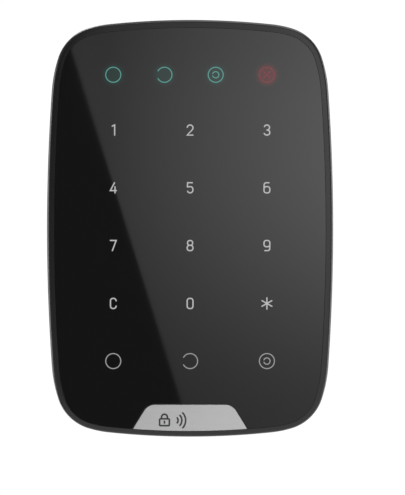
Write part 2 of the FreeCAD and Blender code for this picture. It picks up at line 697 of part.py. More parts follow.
def switch_body(x, z, bore):
    """Square switch case with a bore for its plunger, open to the rear."""
    body = block(
        x - SWITCH_HALF, x + SWITCH_HALF, BOARD_REAR, BOARD_REAR + 3.5, z - SWITCH_HALF, z + SWITCH_HALF
    )
    body = corner_edges(body, 0.4, lambda x, z: True)
    return body.cut(rod_y(x, z, bore, SWITCH_FLOOR, BOARD_REAR + 4))


def tamper_plunger():
    inner_end = SWITCH_FLOOR + TAMPER_TRAVEL + 0.2
    stem = rod_y(TAMPER_X, TAMPER_Z, TAMPER_STEM_RADIUS, inner_end, TAMPER_TIP_Y)
    stem = stem.makeFillet(0.5, flat_edges(stem, TAMPER_TIP_Y))
    collar = rod_y(TAMPER_X, TAMPER_Z, TAMPER_COLLAR_RADIUS, -4.3, -3.7)
    return stem.fuse(collar)


def tamper_spring():
    start = BOARD_REAR + 3.5 + 0.2
    length = -4.3 - 0.2 - start
    return coil(TAMPER_X, start, TAMPER_Z, 0.15, 1.75, length, 4.0, V(0, 1, 0))


def power_button():
    """Button cap with a flange that keeps it behind the wall, and a stem to the switch."""
    cap = rod_y(BUTTON_X, BUTTON_Z, BUTTON_RADIUS - 0.7, -4.4, BUTTON_OUTER_Y)
    cap = cap.makeFillet(0.3, flat_edges(cap, BUTTON_OUTER_Y))
    dish = Part.makeSphere(9.0, V(BUTTON_X, BUTTON_OUTER_Y + 8.7, BUTTON_Z))
    flange = rod_y(BUTTON_X, BUTTON_Z, BUTTON_RADIUS, -4.6, -3.75)
    inner_end = SWITCH_FLOOR + BUTTON_TRAVEL + 0.2
    stem = rod_y(BUTTON_X, BUTTON_Z, BUTTON_STEM_RADIUS, inner_end, -4.5)
    return cap.cut(dish).fuse([flange, stem])


# ---------------------------------------------------------------- screws
def screw_y(x, z, shank, head, head_y, head_height, tip_y):
    """A screw along Y: the head's outer face is at head_y, and the tip lies in front of it."""
    inward = 1 if tip_y > head_y else -1
    under = head_y + inward * head_height
    body = rod_y(x, z, head, min(head_y, under), max(head_y, under))
    body = body.makeFillet(0.25, flat_edges(body, head_y))
    thread = rod_y(x, z, shank, min(under, tip_y), max(under, tip_y))
    recess = cross_recess(x, z, head_y, inward)
    return body.fuse(thread).cut(recess)


def cross_recess(x, z, y, inward):
    depth = 0.4
    y0 = min(y, y + inward * depth)
    y1 = max(y, y + inward * depth)
    y0 -= 0.0 if inward < 0 else 1.0
    y1 += 1.0 if inward < 0 else 0.0
    return [
        block(x - 0.8, x + 0.8, y0, y1, z - 0.2, z + 0.2),
        block(x - 0.2, x + 0.2, y0, y1, z - 0.8, z + 0.8),
    ]


def housing_screws():
    head_y = BACK_WALL_REAR - 0.3
    return Part.makeCompound(
        [screw_y(x, z, 1.0, 1.9, head_y, 1.3, FRAME_LEDGE_Y + 1.6) for x, z in corners(SCREW_INSET)]
    )


def board_screws():
    head_y = BOARD_FRONT - 0.65
    return Part.makeCompound([screw_y(x, z, 0.8, 1.7, head_y, 0.6, -5.6) for x, z in BOARD_SCREWS])


def locking_screw():
    head_top = TAB_BOTTOM
    head = rod_z(0, LOCK_SCREW_Y, LOCK_HEAD_RADIUS, head_top - LOCK_HEAD_HEIGHT, head_top)
    lower = [edge for edge in head.Edges if abs(edge.BoundBox.ZMax - (head_top - LOCK_HEAD_HEIGHT)) < 1e-6]
    head = head.makeFillet(0.3, lower)
    shank = rod_z(0, LOCK_SCREW_Y, LOCK_SCREW_RADIUS, head_top, LOCK_SCREW_TOP)
    z0 = head_top - LOCK_HEAD_HEIGHT - 1
    slots = [
        block(-1.0, 1.0, LOCK_SCREW_Y - 0.25, LOCK_SCREW_Y + 0.25, z0, z0 + 1.6),
        block(-0.25, 0.25, LOCK_SCREW_Y - 1.0, LOCK_SCREW_Y + 1.0, z0, z0 + 1.6),
    ]
    return head.fuse(shank).cut(slots)


# ---------------------------------------------------------------- wall bracket
def hook(x, z):
    x0 = x - HOOK_HALF_WIDTH
    x1 = x + HOOK_HALF_WIDTH
    stem = block(x0, x1, HOOK_LIP_Y[0], -0.5, z, z + HOOK_STEM)
    lip = block(x0, x1, HOOK_LIP_Y[0], HOOK_LIP_Y[1], z, z + HOOK_STEM + HOOK_LIP)
    lead = [
        edge for edge in lip.Edges
        if abs(edge.BoundBox.ZMin - (z + HOOK_STEM + HOOK_LIP)) < 1e-6
        and abs(edge.BoundBox.YMax - HOOK_LIP_Y[1]) < 1e-6 and edge.BoundBox.YLength < 1e-6
    ]
    lip = lip.makeChamfer(0.6, lead)
    return stem.fuse(lip)


def breakaway_ring():
    """Four arc slots that leave a round tab hanging on thin webs."""
    outer = BREAKAWAY_RADIUS + BREAKAWAY_SLOT / 2
    inner = BREAKAWAY_RADIUS - BREAKAWAY_SLOT / 2
    ring = rod_y(0, BREAKAWAY_Z, outer, -BRACKET_THICK - 1, 1)
    ring = ring.cut(rod_y(0, BREAKAWAY_Z, inner, -BRACKET_THICK - 2, 2))
    webs = []
    for angle in (45, 135):
        web = block(-outer - 1, outer + 1, -BRACKET_THICK - 2, 2, -0.9, 0.9)
        web.rotate(V(0, 0, 0), V(0, 1, 0), angle)
        web.translate(V(0, 0, BREAKAWAY_Z))
        webs.append(web)
    return ring.cut(webs)


def bracket_pockets():
    """Shallow pockets in the face against the wall, which leave ribs between them."""
    zones = list(UPPER_POCKETS) + list(LOWER_POCKETS)
    for z0, z1 in SIDE_POCKETS:
        zones.append((29.5, 42.0, z0, z1))
        zones.append((-42.0, -29.5, z0, z1))
    pockets = []
    for x0, x1, z0, z1 in zones:
        pocket = block(x0, x1, -POCKET_DEPTH, 1, z0, z1)
        pockets.append(corner_edges(pocket, POCKET_RADIUS, lambda x, z: True))
    return pockets


def arrow(x, z, size, y0, y1, heading):
    """A solid arrowhead on a short stem, pointing up (1) or down (-1)."""
    points = [(-1.0, 0.0), (1.0, 0.0), (0.0, 1.1)]
    tip = [V(x + size * px, y0, z + heading * size * pz) for px, pz in points]
    head = Part.Face(Part.makePolygon(tip + tip[:1])).extrude(V(0, y1 - y0, 0))
    stem_z = sorted((z, z - heading * size * 1.1))
    return head.fuse(block(x - size * 0.35, x + size * 0.35, y0, y1, stem_z[0], stem_z[1]))


def wall_bracket():
    plate = slab(FRAME_ARCS, BRACKET_INSET, -BRACKET_THICK, 0)
    window = block(
        -WINDOW_HALF_WIDTH, WINDOW_HALF_WIDTH, -BRACKET_THICK - 1, 1, WINDOW_BOTTOM, WINDOW_TOP
    )
    window = corner_edges(window, 3.0, lambda x, z: True)
    plate = plate.cut(window)
    plate = plate.makeChamfer(BRACKET_BEVEL, flat_edges(plate, 0.0))
    plate = plate.cut(bracket_pockets() + [arrow(0.0, ARROW_Z, 2.0, -0.3, 1, 1)])
    tab = block(-TAB_HALF_WIDTH, TAB_HALF_WIDTH, TAB_FRONT, 0, TAB_BOTTOM, TAB_BOTTOM + TAB_THICK)
    front = [
        edge for edge in tab.Edges
        if edge.BoundBox.XLength < 1e-6 and edge.BoundBox.YLength < 1e-6
        and abs(edge.BoundBox.YMin - TAB_FRONT) < 1e-6
    ]
    tab = tab.makeFillet(1.5, front)
    gussets = []
    for side in (-1, 1):
        x = side * (TAB_HALF_WIDTH - 0.6)
        gussets.append(block(x - 0.6, x + 0.6, -BRACKET_THICK, -BRACKET_BEVEL, TAB_BOTTOM, TAB_BOTTOM + 8))
    plate = plate.fuse([tab] + gussets + [hook(x, z) for x, z in HOOKS])

    cuts = [breakaway_ring()]
    holes = [(side_x * WALL_HOLE_X, side_z * WALL_HOLE_Z) for side_x in (-1, 1) for side_z in (-1, 1)]
    for x, z in holes:
        cuts.append(countersunk(x, z, WALL_HOLE_RADIUS))
    cuts.append(countersunk(0.0, BREAKAWAY_HOLE_Z, BREAKAWAY_HOLE_RADIUS))
    cuts.append(rod_y(BUTTON_X, BUTTON_Z, 5.5, -BRACKET_THICK - 1, 1))
    cuts.append(rod_z(0, LOCK_SCREW_Y, LOCK_SCREW_RADIUS + 0.2, TAB_BOTTOM - 1, TAB_BOTTOM + TAB_THICK + 1))
    return plate.cut(cuts).removeSplitter()


def countersunk(x, z, radius):
    """A through hole with a countersink on the side that faces the housing."""
    through = rod_y(x, z, radius, -BRACKET_THICK - 1, 1)
    sink = Part.makeCone(
        radius + COUNTERSINK, radius, COUNTERSINK, V(x, -BRACKET_THICK, z), V(0, 1, 0)
    )
    return through.fuse(sink)


# ---------------------------------------------------------------- write one file per piece
PIECES = {
    "wall_bracket": wall_bracket,
    "locking_screw": locking_screw,
    "rear_housing": rear_housing,
    "battery_door": battery_door,
    "battery_plates": battery_plates,
    "battery_springs": battery_springs,
    "main_board": main_board,
    "board_screws": board_screws,
    "indicator_leds": indicator_leds,
    "key_leds": key_leds,
    "radio_chip": radio_chip,
    "radio_shield": radio_shield,
    "processor": processor,
    "antenna": antenna,
    "tail_connector": tail_connector,
    "buzzer": buzzer,
    "buzzer_disc": buzzer_disc,
    "smoothing_capacitors": smoothing_capacitors,
    "tamper_switch": lambda: switch_body(TAMPER_X, TAMPER_Z, TAMPER_STEM_RADIUS + RUNNING_CLEARANCE),
    "tamper_plunger": tamper_plunger,
    "tamper_spring": tamper_spring,
    "power_switch": lambda: switch_body(BUTTON_X, BUTTON_Z, BUTTON_STEM_RADIUS + RUNNING_CLEARANCE),
    "power_button": power_button,
    "light_guide": light_guide,
    "touch_film": touch_film,
    "front_frame": front_frame,
    "housing_screws": housing_screws,
    "glass_tape": glass_tape,
    "front_glass": front_glass,
    "name_plate_tape": name_plate_tape,
    "name_plate": name_plate,
}
for number in range(CELL_COUNT):
    PIECES[f"battery_{number + 1}"] = lambda number=number: battery(number)

os.makedirs("parts", exist_ok=True)
for name, make in PIECES.items():
    shape = make()
    if not shape.isValid():
        print(f"{name}: not valid")
    solids = Part.makeCompound(shape.Solids) if len(shape.Solids) > 1 else shape.Solids[0]
    solids.exportStep(f"parts/{name}.step")
    print(f"{name}: {len(shape.Solids)} solid(s), {shape.Volume / 1000:.3f} cm3")
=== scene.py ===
import math
import bmesh
import bpy
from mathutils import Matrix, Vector


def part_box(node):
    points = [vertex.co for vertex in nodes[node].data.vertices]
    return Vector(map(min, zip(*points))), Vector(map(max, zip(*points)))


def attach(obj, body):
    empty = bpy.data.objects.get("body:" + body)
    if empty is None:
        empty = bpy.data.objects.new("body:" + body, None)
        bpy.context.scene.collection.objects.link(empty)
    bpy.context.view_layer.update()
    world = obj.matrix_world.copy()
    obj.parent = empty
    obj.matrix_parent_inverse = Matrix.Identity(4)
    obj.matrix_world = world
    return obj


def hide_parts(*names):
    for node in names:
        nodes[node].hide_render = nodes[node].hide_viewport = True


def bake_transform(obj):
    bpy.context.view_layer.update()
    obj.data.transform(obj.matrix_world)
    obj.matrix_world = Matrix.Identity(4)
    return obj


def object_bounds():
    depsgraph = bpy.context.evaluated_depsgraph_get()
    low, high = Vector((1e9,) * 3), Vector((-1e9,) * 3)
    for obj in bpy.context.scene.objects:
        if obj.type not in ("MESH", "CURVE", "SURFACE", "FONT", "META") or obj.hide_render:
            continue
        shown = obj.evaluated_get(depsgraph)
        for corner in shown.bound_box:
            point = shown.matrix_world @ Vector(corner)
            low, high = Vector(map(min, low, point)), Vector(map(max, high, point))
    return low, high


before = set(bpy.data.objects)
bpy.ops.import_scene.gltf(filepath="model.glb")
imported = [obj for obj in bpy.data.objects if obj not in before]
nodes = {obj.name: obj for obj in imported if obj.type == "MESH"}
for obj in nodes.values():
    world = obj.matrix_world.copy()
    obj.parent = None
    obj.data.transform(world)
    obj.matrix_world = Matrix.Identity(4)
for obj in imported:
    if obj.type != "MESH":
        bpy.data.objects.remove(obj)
cad_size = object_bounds()


# ---------------------------------------------------------------- wall bracket
# Flat plate that is screwed to the wall, with four hooks that carry the panel and a tab for
# the locking screw. Moulded in black ABS with a fine sparked texture on every face.
MM = 0.001


class Link:
    """One output of a finish's nodes, so that shader sums are written as sums."""

    def __init__(self, finish, socket):
        self.finish = finish
        self.socket = socket

    def sum_of(self, operation, first, second):
        return self.finish.node("ShaderNodeMath", {"operation": operation}, {0: first, 1: second})

    def __add__(self, other):
        return self.sum_of("ADD", self, other)

    def __radd__(self, other):
        return self.sum_of("ADD", other, self)

    def __sub__(self, other):
        return self.sum_of("SUBTRACT", self, other)

    def __rsub__(self, other):
        return self.sum_of("SUBTRACT", other, self)

    def __mul__(self, other):
        return self.sum_of("MULTIPLY", self, other)

    def __rmul__(self, other):
        return self.sum_of("MULTIPLY", other, self)

    def __truediv__(self, other):
        return self.sum_of("DIVIDE", self, other)

    def __rtruediv__(self, other):
        return self.sum_of("DIVIDE", other, self)

    def __pow__(self, other):
        return self.sum_of("POWER", self, other)


class Finish:
    """A material with one principled shader: constants are set on it, and links feed the rest."""

    def __init__(self, name, colour, **constants):
        self.material = bpy.data.materials.new(name)
        self.material.use_nodes = True
        self.tree = self.material.node_tree
        self.shader = self.tree.nodes["Principled BSDF"]
        self.feed(self.shader.inputs["Base Color"], (*colour, 1.0))
        self.set(**constants)

    def feed(self, socket, value):
        """Links the value to the socket, or sets it there as a constant."""
        if isinstance(value, Link):
            self.tree.links.new(value.socket, socket)
        else:
            socket.default_value = value

    def node(self, kind, settings=None, inputs=None, output=0):
        """Makes a node of this kind and returns one of its outputs."""
        made = self.tree.nodes.new(kind)
        for name, value in (settings or {}).items():
            setattr(made, name, value)
        for name, value in (inputs or {}).items():
            self.feed(made.inputs[name], value)
        return Link(self, made.outputs[output])

    def place(self):
        """Position on the piece, in metres."""
        return self.node("ShaderNodeTexCoord", output="Object")

    def axes(self):
        """The position's x, y and z."""
        split = self.node("ShaderNodeSeparateXYZ", inputs={0: self.place()})
        outputs = split.socket.node.outputs
        return [Link(self, outputs[index]) for index in range(3)]

    def speckle(self, grain, detail=2.0, stretch=(1.0, 1.0, 1.0)):
        """Noise whose blotches are about the grain across, in millimetres."""
        place = self.node("ShaderNodeMapping", inputs={"Vector": self.place(), "Scale": stretch})
        return self.node(
            "ShaderNodeTexNoise", inputs={"Vector": place, "Scale": 1.0 / (grain * MM), "Detail": detail}
        )

    def between(self, low, high, share, edges=None):
        """The share, or the part of it between the two edges, carried to low to high."""
        source = edges or (0.0, 1.0)
        return self.node(
            "ShaderNodeMapRange", {"interpolation_type": "SMOOTHSTEP" if edges else "LINEAR"},
            {"Value": share, "From Min": source[0], "From Max": source[1], "To Min": low, "To Max": high},
        )

    def mix(self, share, first, second):
        """Two colours mixed by the share of the second."""
        first, second = [(*c, 1.0) if isinstance(c, tuple) else c for c in (first, second)]
        return self.node(
            "ShaderNodeMix", {"data_type": "RGBA"}, {"Factor": share, 6: first, 7: second}, output=2
        )

    def set(self, **sockets):
        """Values or links for the shader's own sockets, named in lower case with underscores."""
        for socket, value in sockets.items():
            title = socket.replace("_", " ").title().replace("Ior", "IOR")
            self.feed(self.shader.inputs[title], value)
        return self

    def emboss(self, height, depth, strength=1.0):
        """Relief from the height, in millimetres."""
        self.set(normal=self.node(
            "ShaderNodeBump", inputs={"Height": height, "Distance": depth * MM, "Strength": strength}
        ))
        return self


def tint(colour, factor):
    """The colour made darker or lighter by the factor."""
    return tuple(min(1.0, channel * factor) for channel in colour)


def moulded(name, colour, roughness, grain=0.16, relief=0.006, **constants):
    """A moulded plastic: sparked grain, and slow drifts of shade and of sheen from the flow."""
    plastic = Finish(name, colour, **constants)
    flow = plastic.speckle(14.0, 3.0, (1.0, 1.0, 0.35))
    pits = plastic.speckle(grain, 3.0)
    shade = flow * 0.7 + pits * 0.3
    plastic.set(
        base_color=plastic.mix(shade, tint(colour, 0.78), tint(colour, 1.22)),
        roughness=plastic.between(roughness - 0.09, roughness + 0.09, shade),
    )
    return plastic.emboss(pits, relief)


def dress(name, finish):
    """Gives a carried-over part its finish."""
    part = nodes[name]
    part.data.materials.clear()
    part.data.materials.append(finish.material)


dress("wall_bracket", moulded("bracket_plastic", (0.013, 0.013, 0.0135), 0.46, 0.2, 0.01))


# ---------------------------------------------------------------- locking screw
# Small pan-head screw up through the bracket's lower tab, which stops the panel from being lifted
# off. Steel with a bright zinc plating, lightly scratched round by the driver.
def plated(name, colour, roughness, grain=0.35, **constants):
    """A plated metal: cloudy plating and fine handling marks."""
    metal = Finish(name, colour, metallic=1.0, **constants)
    cloud = metal.speckle(2.2, 4.0)
    marks = metal.speckle(grain, 2.0, (1.0, 1.0, 0.25))
    metal.set(
        base_color=metal.mix(cloud, tint(colour, 0.82), tint(colour, 1.1)),
        roughness=metal.between(roughness - 0.1, roughness + 0.12, cloud * 0.5 + marks * 0.5),
    )
    return metal.emboss(marks, 0.003)


steel = plated("plated_steel", (0.56, 0.56, 0.57), 0.32)
dress("locking_screw", steel)


# ---------------------------------------------------------------- rear housing
# Deep dish that holds the board and the battery bay, with the recess for the bracket in its back.
# Black ABS, sparked outside, with the same grain as the front frame beside it.
dress("rear_housing", moulded("housing_plastic", (0.0085, 0.0085, 0.009), 0.38, 0.16, 0.006))


# ---------------------------------------------------------------- battery door
# Flap over the four cells, snapped in by the pins at the ends of its hinge bead, with a finger
# grip at the free edge. Black ABS, a little glossier where fingers polish it.
dress("battery_door", moulded("door_plastic", (0.011, 0.011, 0.0115), 0.36, 0.2, 0.007))


# ---------------------------------------------------------------- battery contacts
# Flat sheet contacts at the plus ends and bowed leaves at the minus ends, which together put the
# four cells in series. Nickel-plated steel and spring steel.
dress("battery_plates", plated("nickel_sheet", (0.60, 0.57, 0.51), 0.28))
spring_wire = plated("spring_wire", (0.52, 0.50, 0.47), 0.30)
dress("battery_springs", spring_wire)


# ---------------------------------------------------------------- main board
# Glass-epoxy board in the upper half of the housing, with green solder mask over copper tracks
# and bare tinned pads. Held by three screws.
mask_green = (0.008, 0.085, 0.035)
track_green = (0.02, 0.17, 0.07)
board = Finish("board_laminate", mask_green, coat_weight=0.4, coat_roughness=0.12)
board_x, _, board_z = board.axes()
tracks = board.node(
    "ShaderNodeTexBrick", {"offset": 0.35, "squash": 0.6},
    {
        "Vector": board.node("ShaderNodeCombineXYZ", inputs={0: board_x, 1: board_z}),
        "Color1": (0, 0, 0, 1), "Color2": (0, 0, 0, 1), "Mortar": (1, 1, 1, 1),
        "Scale": 1.0 / (4.0 * MM), "Mortar Size": 0.05, "Brick Width": 1.7, "Row Height": 0.6,
    },
)
weave = board.speckle(0.5, 2.0)
pads = board.node(
    "ShaderNodeTexVoronoi", {"feature": "F1"},
    {"Vector": board.place(), "Scale": 1.0 / (3.2 * MM), "Randomness": 0.7},
)
bare = board.between(1.0, 0.0, pads, (0.13, 0.16))
board.set(
    base_color=board.mix(bare, board.mix(tracks, mask_green, track_green), (0.62, 0.60, 0.56)),
    metallic=bare,
    roughness=board.between(0.34, 0.46, weave),
)
board.emboss(tracks + bare * 0.5, 0.03)
dress("main_board", board)


# ---------------------------------------------------------------- indicator and key lamps
# Four lamps behind the status icons, and six along the board's lower edge that feed the light
# guide. White reflector packages with a clear, faintly yellow resin window.
lamp = Finish("led_package", (0.72, 0.71, 0.66), subsurface_weight=0.1)
_, lamp_y, _ = lamp.axes()
window = lamp.between(1.0, 0.0, lamp_y / MM, (-11.76, -11.69))
lamp.set(
    base_color=lamp.mix(window, (0.72, 0.71, 0.66), (0.80, 0.63, 0.22)),
    roughness=lamp.between(0.5, 0.12, window),
)
dress("indicator_leds", lamp)
dress("key_leds", lamp)


# ---------------------------------------------------------------- radio chip and processor
# Two moulded packages soldered to the board's back. Black filled epoxy with a satin, slightly
# pitted face from the mould.
resin = moulded("chip_resin", (0.016, 0.016, 0.017), 0.55, 0.09, 0.004)
dress("radio_chip", resin)
dress("processor", resin)


# ---------------------------------------------------------------- radio shield and antenna
# Folded can over the radio, and the sheet antenna arm at the board's top edge. Tin-plated steel
# with rolling lines along the sheet.
tin = plated("tin_plate", (0.66, 0.66, 0.65), 0.26, 0.6)
dress("radio_shield", tin)
dress("antenna", tin)


# ---------------------------------------------------------------- tail connector
# Flat-cable socket for the touch film's tail, at the board's lower edge. Ivory nylon.
dress("tail_connector", moulded("connector_plastic", (0.66, 0.62, 0.52), 0.45, 0.12, 0.004))


# ---------------------------------------------------------------- buzzer
# Round sounder soldered to the board, with its port over the housing's ring of holes. Black nylon
# case and a thin brass disc inside it.
dress("buzzer", moulded("buzzer_case", (0.02, 0.02, 0.021), 0.5, 0.14, 0.006))
dress("buzzer_disc", plated("brass_disc", (0.72, 0.50, 0.20), 0.25))


# ---------------------------------------------------------------- smoothing capacitors
# Two electrolytic cans on square bases beside the antenna. Bare aluminium cans with a dark
# marking over a quarter of the top, on black bases.
can = Finish("capacitor_can", (0.70, 0.70, 0.71))
_, can_y, can_z = can.axes()
base_part = can.between(1.0, 0.0, can_y / MM, (-9.85, -9.75))
sleeve = can.between(0.0, 1.0, can_z / MM, (47.0, 47.1))
can_colour = can.mix(sleeve, (0.70, 0.70, 0.71), (0.05, 0.05, 0.06))
can.set(
    base_color=can.mix(base_part, can_colour, (0.02, 0.02, 0.02)),
    metallic=(1.0 - base_part) * (1.0 - sleeve),
    roughness=can.between(0.24, 0.4, can.speckle(0.4, 2.0, (1.0, 0.2, 1.0))),
)
dress("smoothing_capacitors", can)


# ---------------------------------------------------------------- tamper switch
# Sprung plunger that rests near the wall bracket's break-away tab and tells if the panel is
# pulled off. Grey switch case, white acetal plunger, steel coil spring round the plunger.
switch_case = moulded("switch_plastic", (0.10, 0.10, 0.105), 0.45, 0.12, 0.005)
dress("tamper_switch", switch_case)
dress("tamper_plunger", moulded("plunger_plastic", (0.62, 0.61, 0.57), 0.38, 0.1, 0.002))


def piece(name, shell, finish, body):
    """Turns a shell in millimetres into a piece, which rides on the body if one is given."""
    bmesh.ops.recalc_face_normals(shell, faces=shell.faces)
    bmesh.ops.scale(shell, vec=(MM, MM, MM), verts=shell.verts)
    mesh = bpy.data.meshes.new(name)
    shell.to_mesh(mesh)
    shell.free()
    mesh.materials.append(finish.material)
    made = bpy.data.objects.new(name, mesh)
    bpy.context.scene.collection.objects.link(made)
    if body:
        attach(made, body)
    return made


def smooth(part, angle):
    """Smooth shading, with edges sharper than the angle kept sharp."""
    part.data.shade_smooth()
    part.data.set_sharp_from_angle(angle=math.radians(angle))


def loft(shell, rings, closed=False):
    """Skins the shell over rings of (x, y, z): last joined to first if closed, or else capped."""
    rows = [[shell.verts.new(point) for point in ring] for ring in rings]
    pairs = list(zip(rows, rows[1:])) + ([(rows[-1], rows[0])] if closed else [])
    for near, far in pairs:
        for index in range(len(near)):
            following = (index + 1) % len(near)
            shell.faces.new((near[index], near[following], far[following], far[index]))
    if not closed:
        shell.faces.new(rows[0])
        shell.faces.new(rows[-1])


COIL_TURNS = 4.0
COIL_RADIUS = 1.75
COIL_WIRE = 0.15
COIL_STEPS = 160
WIRE_SPOKES = 10
DEAD_END = 0.08
spring_low, spring_high = (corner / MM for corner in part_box("tamper_spring"))
coil_x = (spring_low.x + spring_high.x) / 2
coil_z = (spring_low.z + spring_high.z) / 2
coil_foot = spring_low.y + COIL_WIRE
coil_head = spring_high.y - COIL_WIRE
wire_rings = []
for step in range(COIL_STEPS + 1):
    turn = math.tau * COIL_TURNS * step / COIL_STEPS
    rise = min(max((step / COIL_STEPS - DEAD_END) / (1.0 - 2.0 * DEAD_END), 0.0), 1.0)
    wire_ring = []
    for spoke in range(WIRE_SPOKES):
        around = math.tau * spoke / WIRE_SPOKES
        reach = COIL_RADIUS + COIL_WIRE * math.cos(around)
        y = coil_foot + (coil_head - coil_foot) * rise + COIL_WIRE * math.sin(around)
        wire_ring.append((coil_x + reach * math.cos(turn), y, coil_z + reach * math.sin(turn)))
    wire_rings.append(wire_ring)
coil_shell = bmesh.new()
loft(coil_shell, wire_rings)
tamper_coil = piece("tamper_coil", coil_shell, spring_wire, None)
smooth(tamper_coil, 50.0)
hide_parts("tamper_spring")
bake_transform(tamper_coil)


# ---------------------------------------------------------------- power button
# Round cap in the housing's back wall that presses a switch on the board. Dark grey ABS, dished
# and lightly polished by fingers.
dress("power_switch", switch_case)
dress("power_button", moulded("button_plastic", (0.055, 0.055, 0.058), 0.34, 0.12, 0.003))


# ---------------------------------------------------------------- light guide and touch film
# Clear acrylic sheet that spreads the lamps' light, and the clear film with the key electrodes in
# front of it, whose tail folds back to the board.
guide = Finish("guide_acrylic", (0.90, 0.93, 0.92), transmission_weight=0.8, ior=1.49)
dots = guide.node(
    "ShaderNodeTexVoronoi", inputs={"Vector": guide.place(), "Scale": 1.0 / (0.9 * MM), "Randomness": 0.0}
)
guide.set(roughness=guide.between(0.5, 0.06, dots, (0.2, 0.3)))
guide.emboss(dots, 0.01)
dress("light_guide", guide)

film = Finish("clear_film", (0.75, 0.70, 0.58), transmission_weight=0.6, ior=1.5)
mesh_lines = film.node(
    "ShaderNodeTexBrick", {"offset": 0.0},
    {
        "Vector": film.place(), "Color1": (0, 0, 0, 1), "Color2": (0, 0, 0, 1), "Mortar": (1, 1, 1, 1),
        "Scale": 1.0 / (1.2 * MM), "Mortar Size": 0.04, "Brick Width": 1.0, "Row Height": 1.0,
    },
)
film.set(
    base_color=film.mix(mesh_lines, (0.75, 0.70, 0.58), (0.35, 0.33, 0.30)),
    roughness=film.between(0.12, 0.3, film.speckle(6.0)),
)
dress("touch_film", film)


# ---------------------------------------------------------------- front frame
# Moulded surround with a ledge for the glass, a seat for the name plate and four screw bosses.
# Black ABS: from a rounded outer edge, its slim rim slopes gently up to the groove by the glass.
_, high = cad_size
PANEL_HALF_WIDTH = high.x / MM
PANEL_HALF_HEIGHT = high.z / MM
BEND_ANGLES = [math.radians(angle) for angle in (0.0, 4.0, 18.0, 73.0, 84.0, 90.0)]
BEND_STEPS = (24, 12, 26, 10, 16)
FRAME_CORNERS = (50.0, 16.4, 39.0)
GLASS_CORNERS = (47.0, 13.2, 36.0)
GLASS_HALF_WIDTH = 48.8
GLASS_HALF_HEIGHT = 72.45
GLASS_CENTRE_Z = -0.4
FRAME_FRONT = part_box("front_frame")[0].y / MM
FRAME_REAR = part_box("front_frame")[1].y / MM
GLASS_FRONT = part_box("front_glass")[0].y / MM
LEDGE_FRONT = -12.65
LEDGE_REAR = -11.65
LEDGE_INSET = 5.4
WALL_THICK = 1.8
REAR_ROUND = 0.25
SIDE_YS = (-9.6, -11.4)
EDGE_WIDTH = 1.1
EDGE_DEPTH = 1.7
EDGE_STEPS = 10
CROWN = 0.12
GROOVE = 0.05
GROOVE_ROUND = 0.04
BOSS_RADIUS = 2.6
BOSS_FRONT = -12.55
BOSS_REAR = -8.0
BOSS_INSET = 7.0
BORE_RADIUS = 1.05
BORE_FLOOR = -11.45
PLATE_TOP_Z = -63.4
PLATE_TOP_X = 15.2
PLATE_FOOT_X = 20.65
PLATE_FOOT_Z = -72.25
PLATE_CORNER = 4.6
PLATE_STEPS = 18
PLATE_LEAN = math.atan2(PLATE_FOOT_X - PLATE_TOP_X, PLATE_TOP_Z - PLATE_FOOT_Z)
SEAT_FRONT = -13.0
SEAT_REAR = -12.15
SEAT_INSET = 0.5
APRON_FOOT = -72.0
APRON_MARGIN = 2.0
APRON_STEP = 0.05


def quarter(half_width, half_height, radii):
    """Centre, radius and end angles of the five tangent arcs from side middle to top middle."""
    run_x = [math.cos(b) - math.cos(a) for a, b in zip(BEND_ANGLES, BEND_ANGLES[1:])]
    run_z = [math.sin(b) - math.sin(a) for a, b in zip(BEND_ANGLES, BEND_ANGLES[1:])]
    left_x = -half_width - sum(radius * run_x[step + 1] for step, radius in enumerate(radii))
    left_z = half_height - sum(radius * run_z[step + 1] for step, radius in enumerate(radii))
    spread = run_x[0] * run_z[4] - run_x[4] * run_z[0]
    side = (left_x * run_z[4] - run_x[4] * left_z) / spread
    top = (run_x[0] * left_z - left_x * run_z[0]) / spread
    arcs = []
    x, z = half_width, 0.0
    for radius, first, last in zip((side, *radii, top), BEND_ANGLES, BEND_ANGLES[1:]):
        centre_x = x - radius * math.cos(first)
        centre_z = z - radius * math.sin(first)
        arcs.append((centre_x, centre_z, radius, first, last))
        x = centre_x + radius * math.cos(last)
        z = centre_z + radius * math.sin(last)
    return arcs


FRAME_ARCS = quarter(PANEL_HALF_WIDTH, PANEL_HALF_HEIGHT, FRAME_CORNERS)
GLASS_ARCS = quarter(GLASS_HALF_WIDTH, GLASS_HALF_HEIGHT, GLASS_CORNERS)


def outline(arcs, inset, centre_z=0.0):
    """The closed outline moved inwards by the inset, as (x, z), anticlockwise from the right."""
    corner = []
    for (centre_x, arc_z, radius, first, last), steps in zip(arcs, BEND_STEPS):
        for step in range(steps):
            angle = first + (last - first) * step / steps
            reach = radius - inset
            corner.append((centre_x + reach * math.cos(angle), arc_z + reach * math.sin(angle)))
    corner.append((0.0, arcs[4][1] + arcs[4][2] - inset))
    upper = corner + [(-x, z) for x, z in reversed(corner[:-1])]
    lower = [(x, -z) for x, z in reversed(upper[1:-1])]
    return [(x, z + centre_z) for x, z in upper + lower]


def ring(inset, y):
    """The frame's outline at this inset and depth."""
    return [(x, y, z) for x, z in outline(FRAME_ARCS, inset)]


def lip(share, y):
    """A ring between the rim's rounded edge and the groove beside the glass."""
    outer = outline(FRAME_ARCS, EDGE_WIDTH)
    inner = outline(GLASS_ARCS, -GROOVE, GLASS_CENTRE_Z)
    return [(a[0] + (b[0] - a[0]) * share, y, a[1] + (b[1] - a[1]) * share) for a, b in zip(outer, inner)]


def groove(y):
    """The groove's outer wall at this depth."""
    return [(x, y, z) for x, z in outline(GLASS_ARCS, -GROOVE, GLASS_CENTRE_Z)]


def side_x(z, margin):
    """Half the plate's width at this height, grown by the margin."""
    return PLATE_TOP_X + (PLATE_TOP_Z - z) * math.tan(PLATE_LEAN) + margin / math.cos(PLATE_LEAN)


